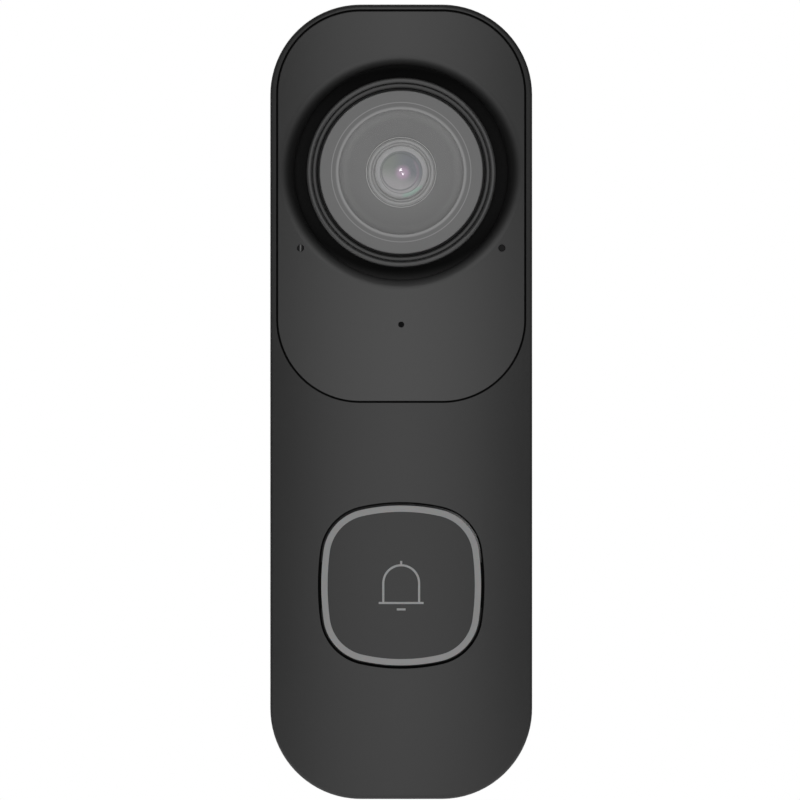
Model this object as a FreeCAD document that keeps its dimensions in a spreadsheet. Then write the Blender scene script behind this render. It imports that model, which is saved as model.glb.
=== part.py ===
"""Video doorbell: a slim wall unit with a round camera above a square push button.

Frame: X across, Z up, Y into the wall. The wall face is the plane y = 0 and everything stands in front
of it, at negative y. The origin is at the middle of the wall bracket's back face. A "depth" below is a
distance out from the wall, so depth 24 is y = -24. All lengths are in millimetres.
"""
import FreeCAD, Part
import math
import os
import re
import Sketcher
from FreeCAD import Rotation, Vector

OUTPUT = "parts"
XZ_PLANE = "XZ_Plane"
XY_PLANE = "XY_Plane"

SIZES = {
    # body and its shells
    "body_height": 140.0,
    "body_width": 46.2,
    "body_corner": 15.9,
    "body_depth": 24.0,
    "crown_radius": 62.0,
    "edge_round": 0.7,
    "parting_depth": 9.0,
    "side_wall": 2.0,
    "front_wall": 2.0,
    "back_wall": 1.8,
    "seal_width": 0.8,
    "seal_inset": 0.6,
    "seal_height": 0.4,
    # wall bracket
    "bracket_thickness": 2.2,
    "bracket_inset": 2.0,
    "wall_screw_spacing": 90.0,
    "wall_screw_radius": 2.2,
    "wall_head_radius": 4.4,
    "wall_head_room": 3.0,
    "window_width": 26.0,
    "window_height": 32.0,
    "window_z": 22.0,
    "hook_width": 10.0,
    "hook_drop": 15.0,
    "hook_neck": 4.6,
    "hook_lip": 2.6,
    "hook_ledge": 1.2,
    "hook_thickness": 1.1,
    "core_depth": 1.0,
    "core_width": 11.0,
    "core_height": 10.0,
    "core_corner": 1.0,
    "core_pitch_x": 12.2,
    "core_pitch_z": 11.5,
    "core_first_z": 11.0,
    "core_end_drop": 14.0,
    "lug_width": 8.0,
    "lug_height": 4.5,
    "lug_rise": 5.8,
    "lug_reach": 5.0,
    "latch_clearance": 0.4,
    "latch_wall": 1.3,
    "security_screw_radius": 1.3,
    "security_head_radius": 2.1,
    "security_head_height": 1.3,
    "security_head_sink": 0.1,
    # wiring bay in the back
    "bay_width": 24.0,
    "bay_height": 22.0,
    "bay_z": 25.5,
    "bay_depth": 5.0,
    "bay_floor": 1.5,
    "bay_wall": 1.5,
    "bay_corner": 2.0,
    "terminal_spacing": 11.0,
    "terminal_z": 30.0,
    "terminal_head_radius": 3.2,
    "terminal_head_height": 2.0,
    "terminal_shank_radius": 1.5,
    "terminal_plate": 8.0,
    "terminal_tip_gap": 0.1,
    # camera panel
    "panel_thickness": 1.6,
    "panel_side_inset": 1.37,
    "panel_top_inset": 1.18,
    "panel_bottom_z": 0.12,
    "panel_corner": 14.5,
    "panel_gap": 0.32,
    "panel_seat_gap": 0.05,
    "panel_edge_round": 0.15,
    "panel_backing": 1.6,
    # camera
    "camera_drop": 29.57,
    "moat_radius": 18.9,
    "moat_rim_round": 1.8,
    "moat_sink": 6.0,
    "moat_floor": 1.2,
    "collar_wall": 1.3,
    "bezel_radius": 16.63,
    "bezel_wall": 0.88,
    "bezel_stand": 2.6,
    "bezel_round": 0.35,
    "bezel_flange": 1.6,
    "bezel_seal": 0.4,
    "bezel_seal_inset": 0.3,
    "fit_gap": 0.15,
    "retainer_width": 0.73,
    "retainer_recess": 0.35,
    "gasket_width": 0.38,
    "gasket_base": 0.5,
    "gasket_lip": 1.0,
    "gasket_recess": 0.2,
    "retainer_gap": 0.07,
    "window_thickness": 1.3,
    "window_recess": 0.85,
    "window_seat": 1.2,
    "shelf_width": 1.2,
    "surround_flange": 1.0,
    "surround_recess": 1.1,
    "lip_height": 0.3,
    "outer_lip_inset": 2.14,
    "inner_lip_inset": 3.1,
    "lip_width": 0.26,
    "barrel_radius": 6.05,
    "barrel_recess": 0.55,
    "barrel_step_radius": 5.59,
    "barrel_step_depth": 0.3,
    "barrel_inner_step": 4.9,
    "front_lens_radius": 4.65,
    "front_lens_thickness": 1.6,
    "front_lens_proud": 0.2,
    "lens_dome": 8.0,
    "aperture_radius": 3.57,
    "rear_lens_thickness": 1.4,
    "holder_wall": 1.3,
    "holder_base": 1.2,
    "holder_height": 2.2,
    "filter_box_depth": 2.6,
    "filter_wall": 1.2,
    "filter_side_gap": 0.2,
    "sensor_chamber": 1.4,
    "carrier_length": 13.0,
    "carrier_width": 8.6,
    "filter_thickness": 0.8,
    "filter_float": 0.05,
    "pane_width": 4.6,
    "pane_height": 6.0,
    "pane_thickness": 0.4,
    "drive_tab_overlap": 0.5,
    "drive_tab_width": 1.6,
    "coil_margin": 0.75,
    "coil_width": 6.0,
    "coil_height": 4.0,
    "camera_board_width": 38.0,
    "camera_board_height": 33.0,
    "camera_post_offset": 12.4,
    "camera_post_radius": 1.8,
    "camera_thread_cover": 0.4,
    "infrared_board_margin": 1.55,
    "infrared_board_thickness": 0.8,
    "infrared_led_circle": 10.3,
    "infrared_led_size": 3.0,
    "infrared_led_height": 1.0,
    "sensor_width": 8.0,
    "sensor_height": 6.4,
    "sensor_thickness": 1.0,
    "sensor_margin": 0.5,
    "filter_travel": 5.5,
    "dot_x": 17.75,
    "dot_drop": 13.33,
    "dot_radius": 0.64,
    "dot_recess": 0.25,
    "dot_pipe_gap": 0.06,
    "chip_size": 2.0,
    "chip_height": 0.9,
    "pipe_flange": 0.8,
    "microphone_drop": 26.83,
    "microphone_hole": 0.53,
    "microphone_radius": 2.05,
    "microphone_height": 1.4,
    "boot_wall": 0.9,
    "boot_front": 1.6,
    "boot_gap": 0.1,
    # push button
    "button_rise": 37.64,
    "opening_half": 14.7,
    "opening_side_radius": 46.0,
    "opening_top_radius": 32.5,
    "opening_corner": 9.15,
    "button_gap": 0.62,
    "light_ring_width": 1.1,
    "button_travel": 0.6,
    "cap_thickness": 2.6,
    "carrier_thickness": 1.5,
    "cap_height": 5.1,
    "icon_recess": 0.4,
    "icon_stroke": 0.37,
    "bell_radius": 3.34,
    "bell_centre": 0.4,
    "bell_brim": -3.09,
    "bell_brim_width": 7.9,
    "bell_clapper": -4.22,
    "bell_clapper_width": 1.55,
    "bell_stud": 3.95,
    "button_board_width": 38.4,
    "button_board_height": 31.0,
    "button_post_x": 17.3,
    "button_post_z": 12.9,
    "button_post_radius": 1.9,
    "catch_width": 8.0,
    "catch_reach": 2.6,
    "catch_root": 3.0,
    "catch_clearance": 0.3,
    "switch_size": 6.0,
    "switch_height": 3.0,
    "plunger_radius": 1.7,
    "plunger_gap": 0.1,
    "plunger_sink": 0.1,
    "plunger_clearance": 0.15,
    "button_led_size": 1.6,
    "button_led_inset": 2.2,
    "button_led_spacing": 9.0,
    "light_seal_outset": 0.7,
    "light_seal_inset": 0.3,
    "button_screw_reach": 3.5,
    # boards and fixings
    "board_thickness": 1.0,
    "board_corner": 1.5,
    "main_board_depth": 9.7,
    "front_board_depth": 12.6,
    "main_board_inset": 3.1,
    "case_post_radius": 2.2,
    "top_post_drop": 5.5,
    "side_post_inset": 5.5,
    "side_post_z": 7.5,
    "low_post_inset": 8.6,
    "low_post_rise": 14.5,
    "board_rest_x": 15.5,
    "board_rest_rise": 5.5,
    "case_screw_radius": 0.9,
    "case_head_radius": 1.7,
    "case_head_height": 1.2,
    "case_head_sink": 0.1,
    "case_screw_reach": 7.0,
    "thread_gap": 0.03,
    "small_screw_radius": 0.8,
    "small_head_radius": 1.5,
    "small_head_height": 1.1,
    "running_gap": 0.3,
    # parts on the main board
    "can_width": 24.0,
    "can_height": 16.0,
    "can_z": 6.0,
    "can_thickness": 2.2,
    "can_corner": 1.0,
    "antenna_width": 26.0,
    "antenna_height": 4.5,
    "antenna_z": 19.0,
    "antenna_thickness": 0.8,
    "power_z": -9.0,
    "inductor_x": -9.5,
    "inductor_size": 7.5,
    "inductor_height": 4.0,
    "capacitor_x": 2.5,
    "capacitor_pitch": 7.5,
    "capacitor_radius": 3.0,
    "capacitor_height": 6.5,
    "connector_width": 9.0,
    "connector_height": 3.0,
    "camera_connector_rise": 14.0,
    "button_connector_rise": 13.0,
    # loudspeaker
    "speaker_width": 15.0,
    "speaker_depth": 7.0,
    "speaker_height": 4.2,
    "speaker_middle": 15.5,
    "speaker_seal_height": 0.8,
    "speaker_rim": 1.2,
    "speaker_seal_side": 0.4,
    "speaker_seal_edge": 0.2,
    "speaker_basin": 1.6,
    "cone_recess": 0.9,
    "cone_thickness": 0.5,
    "sound_slot_width": 1.2,
    "sound_slot_pitch": 2.6,
    "sound_slot_depth": 4.0,
    "sound_slot_overlap": 0.5,
    # reset button in the back
    "reset_z": 9.8,
    "reset_radius": 2.2,
    "reset_travel": 0.5,
    "reset_recess": 0.3,
    "reset_flange": 0.8,
    "reset_flange_width": 0.8,
    "reset_stem_overlap": 0.3,
    "reset_switch_well": 0.5,
    "reset_stem_gap": 0.2,
    "reset_stem_radius": 1.0,
    "reset_switch_height": 2.7,
}

# Places that follow from the sizes, each used by name in the formulas below.
PLACES = {
    "camera_z": "body_height / 2 - camera_drop",
    "button_z": "button_rise - body_height / 2",
    "hook_z": "body_height / 2 - hook_drop",
    "lug_z": "lug_rise - body_height / 2",
    "dot_z": "camera_z - dot_drop",
    "microphone_z": "camera_z - microphone_drop",
    "bezel_depth": "body_depth + bezel_stand",
    "moat_depth": "body_depth - moat_sink",
    "bezel_bore": "bezel_radius - bezel_wall",
    "window_radius": "bezel_bore - fit_gap - retainer_width - retainer_gap - gasket_width",
    "filter_box_width": "carrier_length + filter_travel + 2 * (running_gap + filter_wall)",
    "filter_box_height": "carrier_width + 2 * (filter_side_gap + filter_wall)",
    "coil_start": "filter_box_width / 2 + running_gap",
    "coil_end": "bezel_bore - coil_margin",
    "tab_start": "filter_travel / 2 + carrier_length / 2",
    "tab_end": "coil_end - drive_tab_overlap",
    "carrier_depth": "body_depth - cap_height - carrier_thickness",
    "top_post_z": "body_height / 2 - top_post_drop",
    "side_post_x": "body_width / 2 - side_post_inset",
    "low_post_x": "body_width / 2 - low_post_inset",
    "low_post_z": "low_post_rise - body_height / 2",
    "core_end_z": "body_height / 2 - core_end_drop",
}

doc = FreeCAD.newDocument("video_doorbell")
sheet = doc.addObject("Spreadsheet::Sheet", "Sizes")
finished = {}


def fill_sheet():
    """Write each driving size as a plain number in its own named cell."""
    for row, (name, size) in enumerate(SIZES.items(), start=1):
        sheet.set(f"A{row}", name)
        sheet.set(f"B{row}", str(size))
        sheet.setAlias(f"B{row}", name)
    doc.recompute()


def formula(text):
    """Turn a formula in the names of sizes and places into an expression that reads the spreadsheet."""
    def cell(match):
        word = match.group()
        if word in PLACES:
            return f"({formula(PLACES[word])})"
        return f"Sizes.{word}" if word in SIZES else word
    return re.sub(r"[a-z][a-z_]*", cell, str(text))


def value(text):
    return float(sheet.evalExpression(formula(text)))


def total(*terms):
    return "(" + " + ".join(f"({term})" for term in terms) + ")"


def less(first, *terms):
    return f"(({first}) - " + " - ".join(f"({term})" for term in terms) + ")"


# ---------------------------------------------------------------- sketch outlines


class Outline:
    """A sketch on a plane of its own body, filled with constrained closed loops."""

    def __init__(self, body, plane, offset):
        self.sketch = body.newObject("Sketcher::SketchObject", "Outline")
        face = next(f for f in body.Origin.OriginFeatures if f.Role == plane)
        self.sketch.AttachmentSupport = [(face, "")]
        self.sketch.MapMode = "FlatFace"
        self.sketch.setExpression("AttachmentOffset.Base.z", formula(offset))

    def size(self, kind, text, *refs):
        """Add a dimension that follows a formula."""
        number = value(text)
        index = self.sketch.addConstraint(Sketcher.Constraint(kind, *refs, number))
        self.sketch.setExpression(f"Constraints[{index}]", formula(text))

    def tie(self, kind, *refs):
        self.sketch.addConstraint(Sketcher.Constraint(kind, *refs))

    def centre_at(self, arc, x, z):
        self.size("DistanceX", x, -1, 1, arc, 3)
        self.size("DistanceY", z, -1, 1, arc, 3)

    def circle(self, x, z, radius):
        centre = Vector(value(x), value(z), 0)
        ring = self.sketch.addGeometry(Part.Circle(centre, Vector(0, 0, 1), value(radius)))
        self.size("Radius", radius, ring)
        self.centre_at(ring, x, z)

    def line(self, start, end):
        return self.sketch.addGeometry(Part.LineSegment(Vector(*start, 0), Vector(*end, 0)))

    def arc(self, x, z, radius, first, last):
        """An arc about (x, z) between two angles in degrees, as numbers."""
        ring = Part.Circle(Vector(x, z, 0), Vector(0, 0, 1), radius)
        return self.sketch.addGeometry(Part.ArcOfCircle(ring, math.radians(first), math.radians(last)))

    def rectangle(self, x, z, width, height):
        left, right = less(x, f"({width}) / 2"), total(x, f"({width}) / 2")
        low, high = less(z, f"({height}) / 2"), total(z, f"({height}) / 2")
        corners = [(value(a), value(b)) for a, b in ((left, low), (right, low), (right, high), (left, high))]
        bottom, side, top, other = [self.line(corners[i], corners[(i + 1) % 4]) for i in range(4)]
        for first, second in ((bottom, side), (side, top), (top, other), (other, bottom)):
            self.tie("Coincident", first, 2, second, 1)
        for edge in (bottom, top):
            self.tie("Horizontal", edge)
        for edge in (side, other):
            self.tie("Vertical", edge)
        self.size("DistanceX", left, -1, 1, bottom, 1)
        self.size("DistanceX", right, -1, 1, side, 1)
        self.size("DistanceY", low, -1, 1, bottom, 1)
        self.size("DistanceY", high, -1, 1, top, 1)

    def rounded(self, x, z, width, height, corner):
        """A rectangle about (x, z) with tangent corner arcs."""
        cx, cz, r = value(x), value(z), value(corner)
        a, b = value(width) / 2 - r, value(height) / 2 - r
        right = self.line((cx + a + r, cz - b), (cx + a + r, cz + b))
        top = self.line((cx + a, cz + b + r), (cx - a, cz + b + r))
        left = self.line((cx - a - r, cz + b), (cx - a - r, cz - b))
        bottom = self.line((cx - a, cz - b - r), (cx + a, cz - b - r))
        arcs = [self.arc(cx + i * a, cz + j * b, r, angle, angle + 90)
                for i, j, angle in ((1, 1, 0), (-1, 1, 90), (-1, -1, 180), (1, -1, 270))]
        for before, arc, after in zip((right, top, left, bottom), arcs, (top, left, bottom, right)):
            self.tie("Tangent", before, 2, arc, 1)
            self.tie("Tangent", arc, 2, after, 1)
            self.size("Radius", corner, arc)
        for edge in (top, bottom):
            self.tie("Horizontal", edge)
        for edge in (left, right):
            self.tie("Vertical", edge)
        self.size("DistanceX", total(x, f"({width}) / 2"), -1, 1, right, 1)
        self.size("DistanceX", less(x, f"({width}) / 2"), -1, 1, left, 1)
        self.size("DistanceY", total(z, f"({height}) / 2"), -1, 1, top, 1)
        self.size("DistanceY", less(z, f"({height}) / 2"), -1, 1, bottom, 1)

    def soft_square(self, x, z, half, side_radius, top_radius, corner):
        """A square with bulging edges: a wide arc on each edge, joined by tangent corner arcs."""
        cx, cz, small = value(x), value(z), value(corner)
        radii = (side_radius, top_radius)
        back_x, back_z = [value(half) - value(radius) for radius in radii]
        span = math.hypot(back_x, back_z)
        to_side, to_top = [value(radius) - small for radius in radii]
        along = (to_side ** 2 - to_top ** 2 + span ** 2) / (2 * span)
        across = math.sqrt(to_side ** 2 - along ** 2)
        corner_x = back_x - (along * back_x + across * back_z) / span
        corner_z = (along * back_z - across * back_x) / span
        low = math.degrees(math.atan2(corner_z, corner_x - back_x))
        high = math.degrees(math.atan2(corner_z - back_z, corner_x))
        edges, corners = [], []
        for ux, uz, first, last in ((1, 0, -low, low), (0, 1, high, 180 - high),
                                    (-1, 0, 180 - low, 180 + low), (0, -1, 180 + high, 360 - high)):
            radius = radii[abs(uz)]
            offset = less(half, radius)
            edges.append(self.arc(cx + ux * value(offset), cz + uz * value(offset), value(radius), first, last))
            self.size("Radius", radius, edges[-1])
            self.centre_at(edges[-1], total(x, f"{ux} * {offset}"), total(z, f"{uz} * {offset}"))
        for ux, uz, first, last in ((1, 1, low, high), (-1, 1, 180 - high, 180 - low),
                                    (-1, -1, 180 + low, 180 + high), (1, -1, 360 - high, 360 - low)):
            corners.append(self.arc(cx + ux * corner_x, cz + uz * corner_z, small, first, last))
            self.size("Radius", corner, corners[-1])
        for quarter in range(4):
            self.tie("Tangent", edges[quarter], 2, corners[quarter], 1)
            self.tie("Tangent", corners[quarter], 2, edges[(quarter + 1) % 4], 1)

    def crown(self, radius, top, far, reach):
        """The region between the crown arc, seen from above, and a straight edge at depth far."""
        r, y, edge, limit = value(radius), -value(top), -value(far), value(reach)
        swing = math.degrees(math.asin(limit / r))
        arc = self.arc(0, y + r, r, 270 - swing, 270 + swing)
        end_y = y + r - math.sqrt(r * r - limit * limit)
        left = self.line((-limit, edge), (-limit, end_y))
        right = self.line((limit, end_y), (limit, edge))
        base = self.line((limit, edge), (-limit, edge))
        for first, second in ((left, arc), (arc, right), (right, base), (base, left)):
            self.tie("Coincident", first, 2, second, 1)
        self.tie("Vertical", left)
        self.tie("Vertical", right)
        self.tie("Horizontal", base)
        self.size("Radius", radius, arc)
        self.centre_at(arc, 0, less(radius, top))
        self.size("DistanceX", f"-({reach})", -1, 1, left, 1)
        self.size("DistanceX", reach, -1, 1, right, 1)
        self.size("DistanceY", f"-({far})", -1, 1, base, 1)


# Loops are given as (kind, sizes...), so that a piece reads as a list of outlines.


def circle(x, z, radius):
    return ("circle", x, z, radius)


def rectangle(x, z, width, height):
    return ("rectangle", x, z, width, height)


def rounded(x, z, width, height, corner):
    return ("rounded", x, z, width, height, corner)


def soft_square(inset):
    """The push button's outline, moved inwards by a formula."""
    return ("soft_square", 0, "button_z", less("opening_half", inset), less("opening_side_radius", inset),
            less("opening_top_radius", inset), less("opening_corner", inset))


def body_outline(inset):
    """The unit's own outline, moved inwards by a formula."""
    return rounded(0, 0, less("body_width", f"2 * ({inset})"), less("body_height", f"2 * ({inset})"),
                   less("body_corner", inset))


# ---------------------------------------------------------------- one sub-part


class Piece:
    """A PartDesign body made of pads and pockets whose sketches face the front or the top."""

    def __init__(self, name):
        self.body = doc.addObject("PartDesign::Body", name)
        self.body.Label = name

    def feature(self, kind, loops, plane, offset, length):
        outline = Outline(self.body, plane, offset)
        for shape, *sizes in loops:
            getattr(outline, shape)(*sizes)
        feature = self.body.newObject(f"PartDesign::{kind}", kind)
        feature.Profile = outline.sketch
        feature.setExpression("Length", formula(length))
        return feature

    def pad(self, start, end, *loops):
        """Fill the loops between two depths from the wall."""
        self.feature("Pad", loops, XZ_PLANE, start, less(end, start))
        return self

    def pocket(self, start, end, *loops):
        """Cut the loops away between two depths from the wall."""
        self.feature("Pocket", loops, XZ_PLANE, end, less(end, start))
        return self

    def pad_up(self, low, high, *loops):
        """Fill loops drawn in X and Y between two heights."""
        self.feature("Pad", loops, XY_PLANE, low, less(high, low))
        return self

    def pocket_up(self, low, high, *loops):
        self.feature("Pocket", loops, XY_PLANE, high, less(high, low))
        return self

    def cut_crown(self, top, far):
        """Trim to a crown: remove what lies between it and depth far, over the whole height.

        All crowns share the axis of the body's own crown, so walls between two of them are even.
        """
        loop = ("crown", crown_radius(top), top, far, "body_width / 2 + 1")
        feature = self.feature("Pocket", [loop], XY_PLANE, 0, "body_height * 2")
        feature.SideType = "Symmetric"
        return self

    def soften(self, radius, chosen):
        """Round the edges that the test picks, leaving the piece as it is where none is picked."""
        doc.recompute()
        tip = self.body.Tip
        edges = [f"Edge{i}" for i, edge in enumerate(tip.Shape.Edges, start=1) if chosen(edge)]
        fillet = self.body.newObject("PartDesign::Fillet", "Round")
        fillet.Base = (tip, edges)
        fillet.setExpression("Radius", formula(radius))
        return self

    def finish(self):
        finished[self.body.Label] = self.body
        return self.body


def subtract(name, base, *tools):
    """A Part cut of finished bodies, one tool after another."""
    for tool in tools:
        cut = doc.addObject("Part::Cut", name)
        cut.Base = base
        cut.Tool = tool
        base = cut
    base.Label = name
    finished[name] = base
    return base


def bind(thing, **formulas):
    for path, text in formulas.items():
        thing.setExpression(path.replace("__", "."), formula(text))
    return thing


def crown_radius(top):
    return f"(crown_radius - body_depth + ({top}))"


def on_crown(edge, tolerance=0.02):
    """True where the whole edge lies on the body's front crown."""
    radius, axis = value("crown_radius"), value("crown_radius - body_depth")
    points = edge.discretize(5)
    return all(abs(math.hypot(point.x, point.y - axis) - radius) < tolerance for point in points)


def on_ring(edge, radius, tolerance=0.02):
    """True where the whole edge lies at that radius from the camera's axis."""
    middle = value("camera_z")
    points = edge.discretize(5)
    return all(abs(math.hypot(point.x, point.z - middle) - value(radius)) < tolerance for point in points)


def at_bezel_front(edge, tolerance=0.01):
    """True where the whole edge lies in the bezel's front face."""
    box = edge.BoundBox
    return box.YLength < tolerance and abs(box.YMin + value("bezel_depth")) < tolerance


# ---------------------------------------------------------------- derived places

BACK = "bracket_thickness"
CAVITY_BACK = total("bracket_thickness", "back_wall")
INNER_TOP = "(body_depth - front_wall)"
BEYOND = "(body_depth + 3)"
PANEL_BACK = "(body_depth - panel_thickness)"
SEAT_DEPTH = f"({PANEL_BACK} - panel_seat_gap)"
BACKING_DEPTH = f"({SEAT_DEPTH} - panel_backing)"
PANEL_TOP = "(body_height / 2 - panel_top_inset)"
PANEL_Z = f"(({PANEL_TOP} + panel_bottom_z) / 2)"
PANEL_HEIGHT = f"({PANEL_TOP} - panel_bottom_z)"
PANEL_WIDTH = "(body_width - 2 * panel_side_inset)"
COLLAR_RADIUS = "(moat_radius + collar_wall)"
MOAT_BACK = "(moat_depth - moat_floor)"
FLANGE_FRONT = f"({MOAT_BACK} - bezel_seal)"
FLANGE_BACK = f"({FLANGE_FRONT} - bezel_flange)"
RETAINER_RADIUS = "(bezel_bore - fit_gap)"
WINDOW_FRONT = "(bezel_depth - window_recess)"
WINDOW_BACK = f"({WINDOW_FRONT} - window_thickness)"
SHELF_FRONT = f"({WINDOW_BACK} - gasket_base)"
SHELF_BACK = f"({SHELF_FRONT} - window_seat)"
SHELF_BORE = "(window_radius - shelf_width)"
GASKET_RADIUS = "(window_radius + gasket_width)"
SURROUND_FRONT = f"({WINDOW_BACK} - surround_recess)"
BARREL_FRONT = f"({WINDOW_BACK} - barrel_recess)"
LENS_SEAT = f"({BARREL_FRONT} - 2 * barrel_step_depth)"
BOARD_FRONT = "(front_board_depth + board_thickness)"
SCREW_BACK = "(front_board_depth - small_head_height)"
MAIN_FRONT = "(main_board_depth + board_thickness)"
BOX_FRONT = f"({BOARD_FRONT} + filter_box_depth)"
SLOT_BACK = f"({BOARD_FRONT} + sensor_chamber)"
HOLDER_SEAT = f"({BOX_FRONT} + holder_base)"
HOLDER_FRONT = f"({HOLDER_SEAT} + holder_height)"
LED_BACK = f"({HOLDER_FRONT} + infrared_board_thickness)"
CHIP_FRONT = f"({BOARD_FRONT} + chip_height)"
DOT_DEPTH = "(body_depth - crown_radius + sqrt(crown_radius ^ 2 - dot_x ^ 2))"
BAY_BACK = "(bracket_thickness + bay_depth)"
BAY_FRONT = f"({BAY_BACK} + bay_floor)"
CARRIER_FRONT = "(carrier_depth + carrier_thickness)"
CAP_INSET = "(button_gap + light_ring_width)"
LUG_FRONT = "(bracket_thickness + lug_reach)"
LUG_DEPTH = "(bracket_thickness + lug_reach / 2)"
HOOK_LIP_BACK = "(bracket_thickness + hook_ledge + latch_clearance)"
HOOK_FRONT = f"({HOOK_LIP_BACK} + hook_thickness)"
FLOOR_Z = "(side_wall - body_height / 2)"
FILTER_X = "(filter_travel / 2)"

SIDES = (-1, 1)
CASE_POSTS = [("0", "top_post_z")]
CASE_POSTS += [(f"{i} * side_post_x", "side_post_z") for i in SIDES]
CASE_POSTS += [(f"{i} * low_post_x", "low_post_z") for i in SIDES]
BOARD_RESTS = [(f"{i} * board_rest_x", f"{z} + board_rest_rise") for z in ("camera_z", "button_z") for i in SIDES]
CAMERA_POSTS = [(f"{i} * camera_post_offset", f"camera_z + {j} * camera_post_offset")
                for i in SIDES for j in SIDES]
BUTTON_POSTS = [(f"{i} * button_post_x", f"button_z + {j} * button_post_z") for i in SIDES for j in SIDES]
CORE_ROWS = ["core_end_z", "-core_end_z"]
CORE_ROWS += [f"-(core_first_z + {k} * core_pitch_z)" for k in range(3)]
WALL_SCREWS = [(0, f"{i} * wall_screw_spacing / 2") for i in SIDES]
TERMINALS = [(f"{i} * terminal_spacing / 2", "terminal_z") for i in SIDES]
DOTS = [(f"{i} * dot_x", "dot_z") for i in SIDES]


def discs(places, radius):
    return [circle(x, z, radius) for x, z in places]


def ring(x, z, outer, inner):
    return [circle(x, z, outer), circle(x, z, inner)]


def camera_ring(outer, inner):
    return ring(0, "camera_z", outer, inner)


def screws(name, places, back, tip, shank, head, head_height):
    """A set of pan head screws driven from the back, each with a square drive recess."""
    group = Piece(name)
    head_front = total(back, head_height)
    group.pad(back, head_front, *discs(places, head))
    group.pad(head_front, tip, *discs(places, shank))
    group.pocket(back, f"{back} + ({head_height}) / 2", *[rectangle(x, z, head, head) for x, z in places])
    group.finish()


# ---------------------------------------------------------------- shells


def wall_bracket():
    """A plate on the wall with a window for the wires, a hook at the top and a lug for the security screw.

    Its back is cored out in square cells, so that the ribs between them keep it flat.
    """
    plate = Piece("wall_bracket")
    plate.pad(0, BACK, body_outline("bracket_inset"))
    plate.pocket(0, BACK, rounded(0, "window_z", "window_width", "window_height", "bay_corner"))
    plate.pocket(0, BACK, *discs(WALL_SCREWS, "wall_screw_radius"))
    for z in CORE_ROWS:
        cells = [rounded(f"{k} * core_pitch_x", z, "core_width", "core_height", "core_corner") for k in (-1, 0, 1)]
        plate.pocket(0, "core_depth", *cells)
    plate.pad(BACK, HOOK_FRONT, rectangle(0, "hook_z", "hook_width", "hook_neck"))
    lip_z = "(hook_z + hook_neck / 2 + hook_lip / 2)"
    plate.pad(HOOK_LIP_BACK, HOOK_FRONT, rectangle(0, lip_z, "hook_width", "hook_lip"))
    plate.pad(BACK, LUG_FRONT, rectangle(0, "lug_z", "lug_width", "lug_height"))
    screw_hole = circle(0, f"-{LUG_DEPTH}", "security_screw_radius + thread_gap")
    plate.pocket_up("lug_z - lug_height / 2", "lug_z + lug_height / 2", screw_hole)
    plate.finish()


def cover_islands(cover):
    """The raised walls inside the cover round its bay, screw head rooms, hook pocket and lug pocket."""
    grown = "2 * (latch_clearance + latch_wall)"
    hook_middle = "(hook_z + hook_lip / 2)"
    cover.pad(CAVITY_BACK, total(BACK, "wall_head_room", "latch_wall"),
              *discs(WALL_SCREWS, "wall_head_radius + latch_wall"))
    cover.pad(CAVITY_BACK, BAY_FRONT,
              rounded(0, "bay_z", "bay_width + 2 * bay_wall", "bay_height + 2 * bay_wall",
                      "bay_corner + bay_wall"))
    cover.pad(CAVITY_BACK, total(HOOK_FRONT, "latch_clearance", "latch_wall"),
              rectangle(0, hook_middle, f"hook_width + {grown}", f"hook_neck + hook_lip + {grown}"))
    low = f"({FLOOR_Z} - side_wall / 4)"
    high = "(lug_z + lug_height / 2 + latch_clearance + latch_wall)"
    cover.pad(CAVITY_BACK, total(LUG_FRONT, "latch_clearance", "latch_wall"),
              rectangle(0, f"({low} + {high}) / 2", f"lug_width + {grown}", f"{high} - {low}"))


def cover_recesses(cover):
    """What is cut in from behind: wiring bay, screw head rooms, hook pocket with its ledge, lug pocket."""
    cover.pocket(BACK, total(BACK, "wall_head_room"), *discs(WALL_SCREWS, "wall_head_radius"))
    cover.pocket(BACK, BAY_BACK, rounded(0, "bay_z", "bay_width", "bay_height", "bay_corner"))
    room = "2 * latch_clearance"
    pocket_front = total(HOOK_FRONT, "latch_clearance")
    cover.pocket(BACK, pocket_front, rectangle(0, "hook_z", f"hook_width + {room}", f"hook_neck + {room}"))
    lip_z = "(hook_z + hook_lip / 2)"
    cover.pocket("bracket_thickness + hook_ledge", pocket_front,
                 rectangle(0, lip_z, f"hook_width + {room}", f"hook_neck + hook_lip + {room}"))
    cover.pocket(BACK, total(LUG_FRONT, "latch_clearance"),
                 rectangle(0, "lug_z", f"lug_width + {room}", f"lug_height + {room}"))


def cover_holes(cover):
    cover.pocket(BACK, total(BACK, "case_head_height", "case_head_sink"),
                 *discs(CASE_POSTS, "case_head_radius + fit_gap"))
    cover.pocket(BACK, "parting_depth", *discs(CASE_POSTS, "case_screw_radius + thread_gap"))
    cover.pocket(BAY_BACK, BAY_FRONT, *discs(TERMINALS, "terminal_shank_radius + thread_gap"))
    cover.pocket(BACK, CAVITY_BACK, circle(0, "reset_z", "reset_radius + fit_gap"))
    head_top = "(security_head_height + security_head_sink - body_height / 2)"
    cover.pocket_up("-body_height / 2 - 1", head_top,
                    circle(0, f"-{LUG_DEPTH}", "security_head_radius + fit_gap"))
    cover.pocket_up(head_top, "lug_z", circle(0, f"-{LUG_DEPTH}", "security_screw_radius + thread_gap"))


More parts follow.
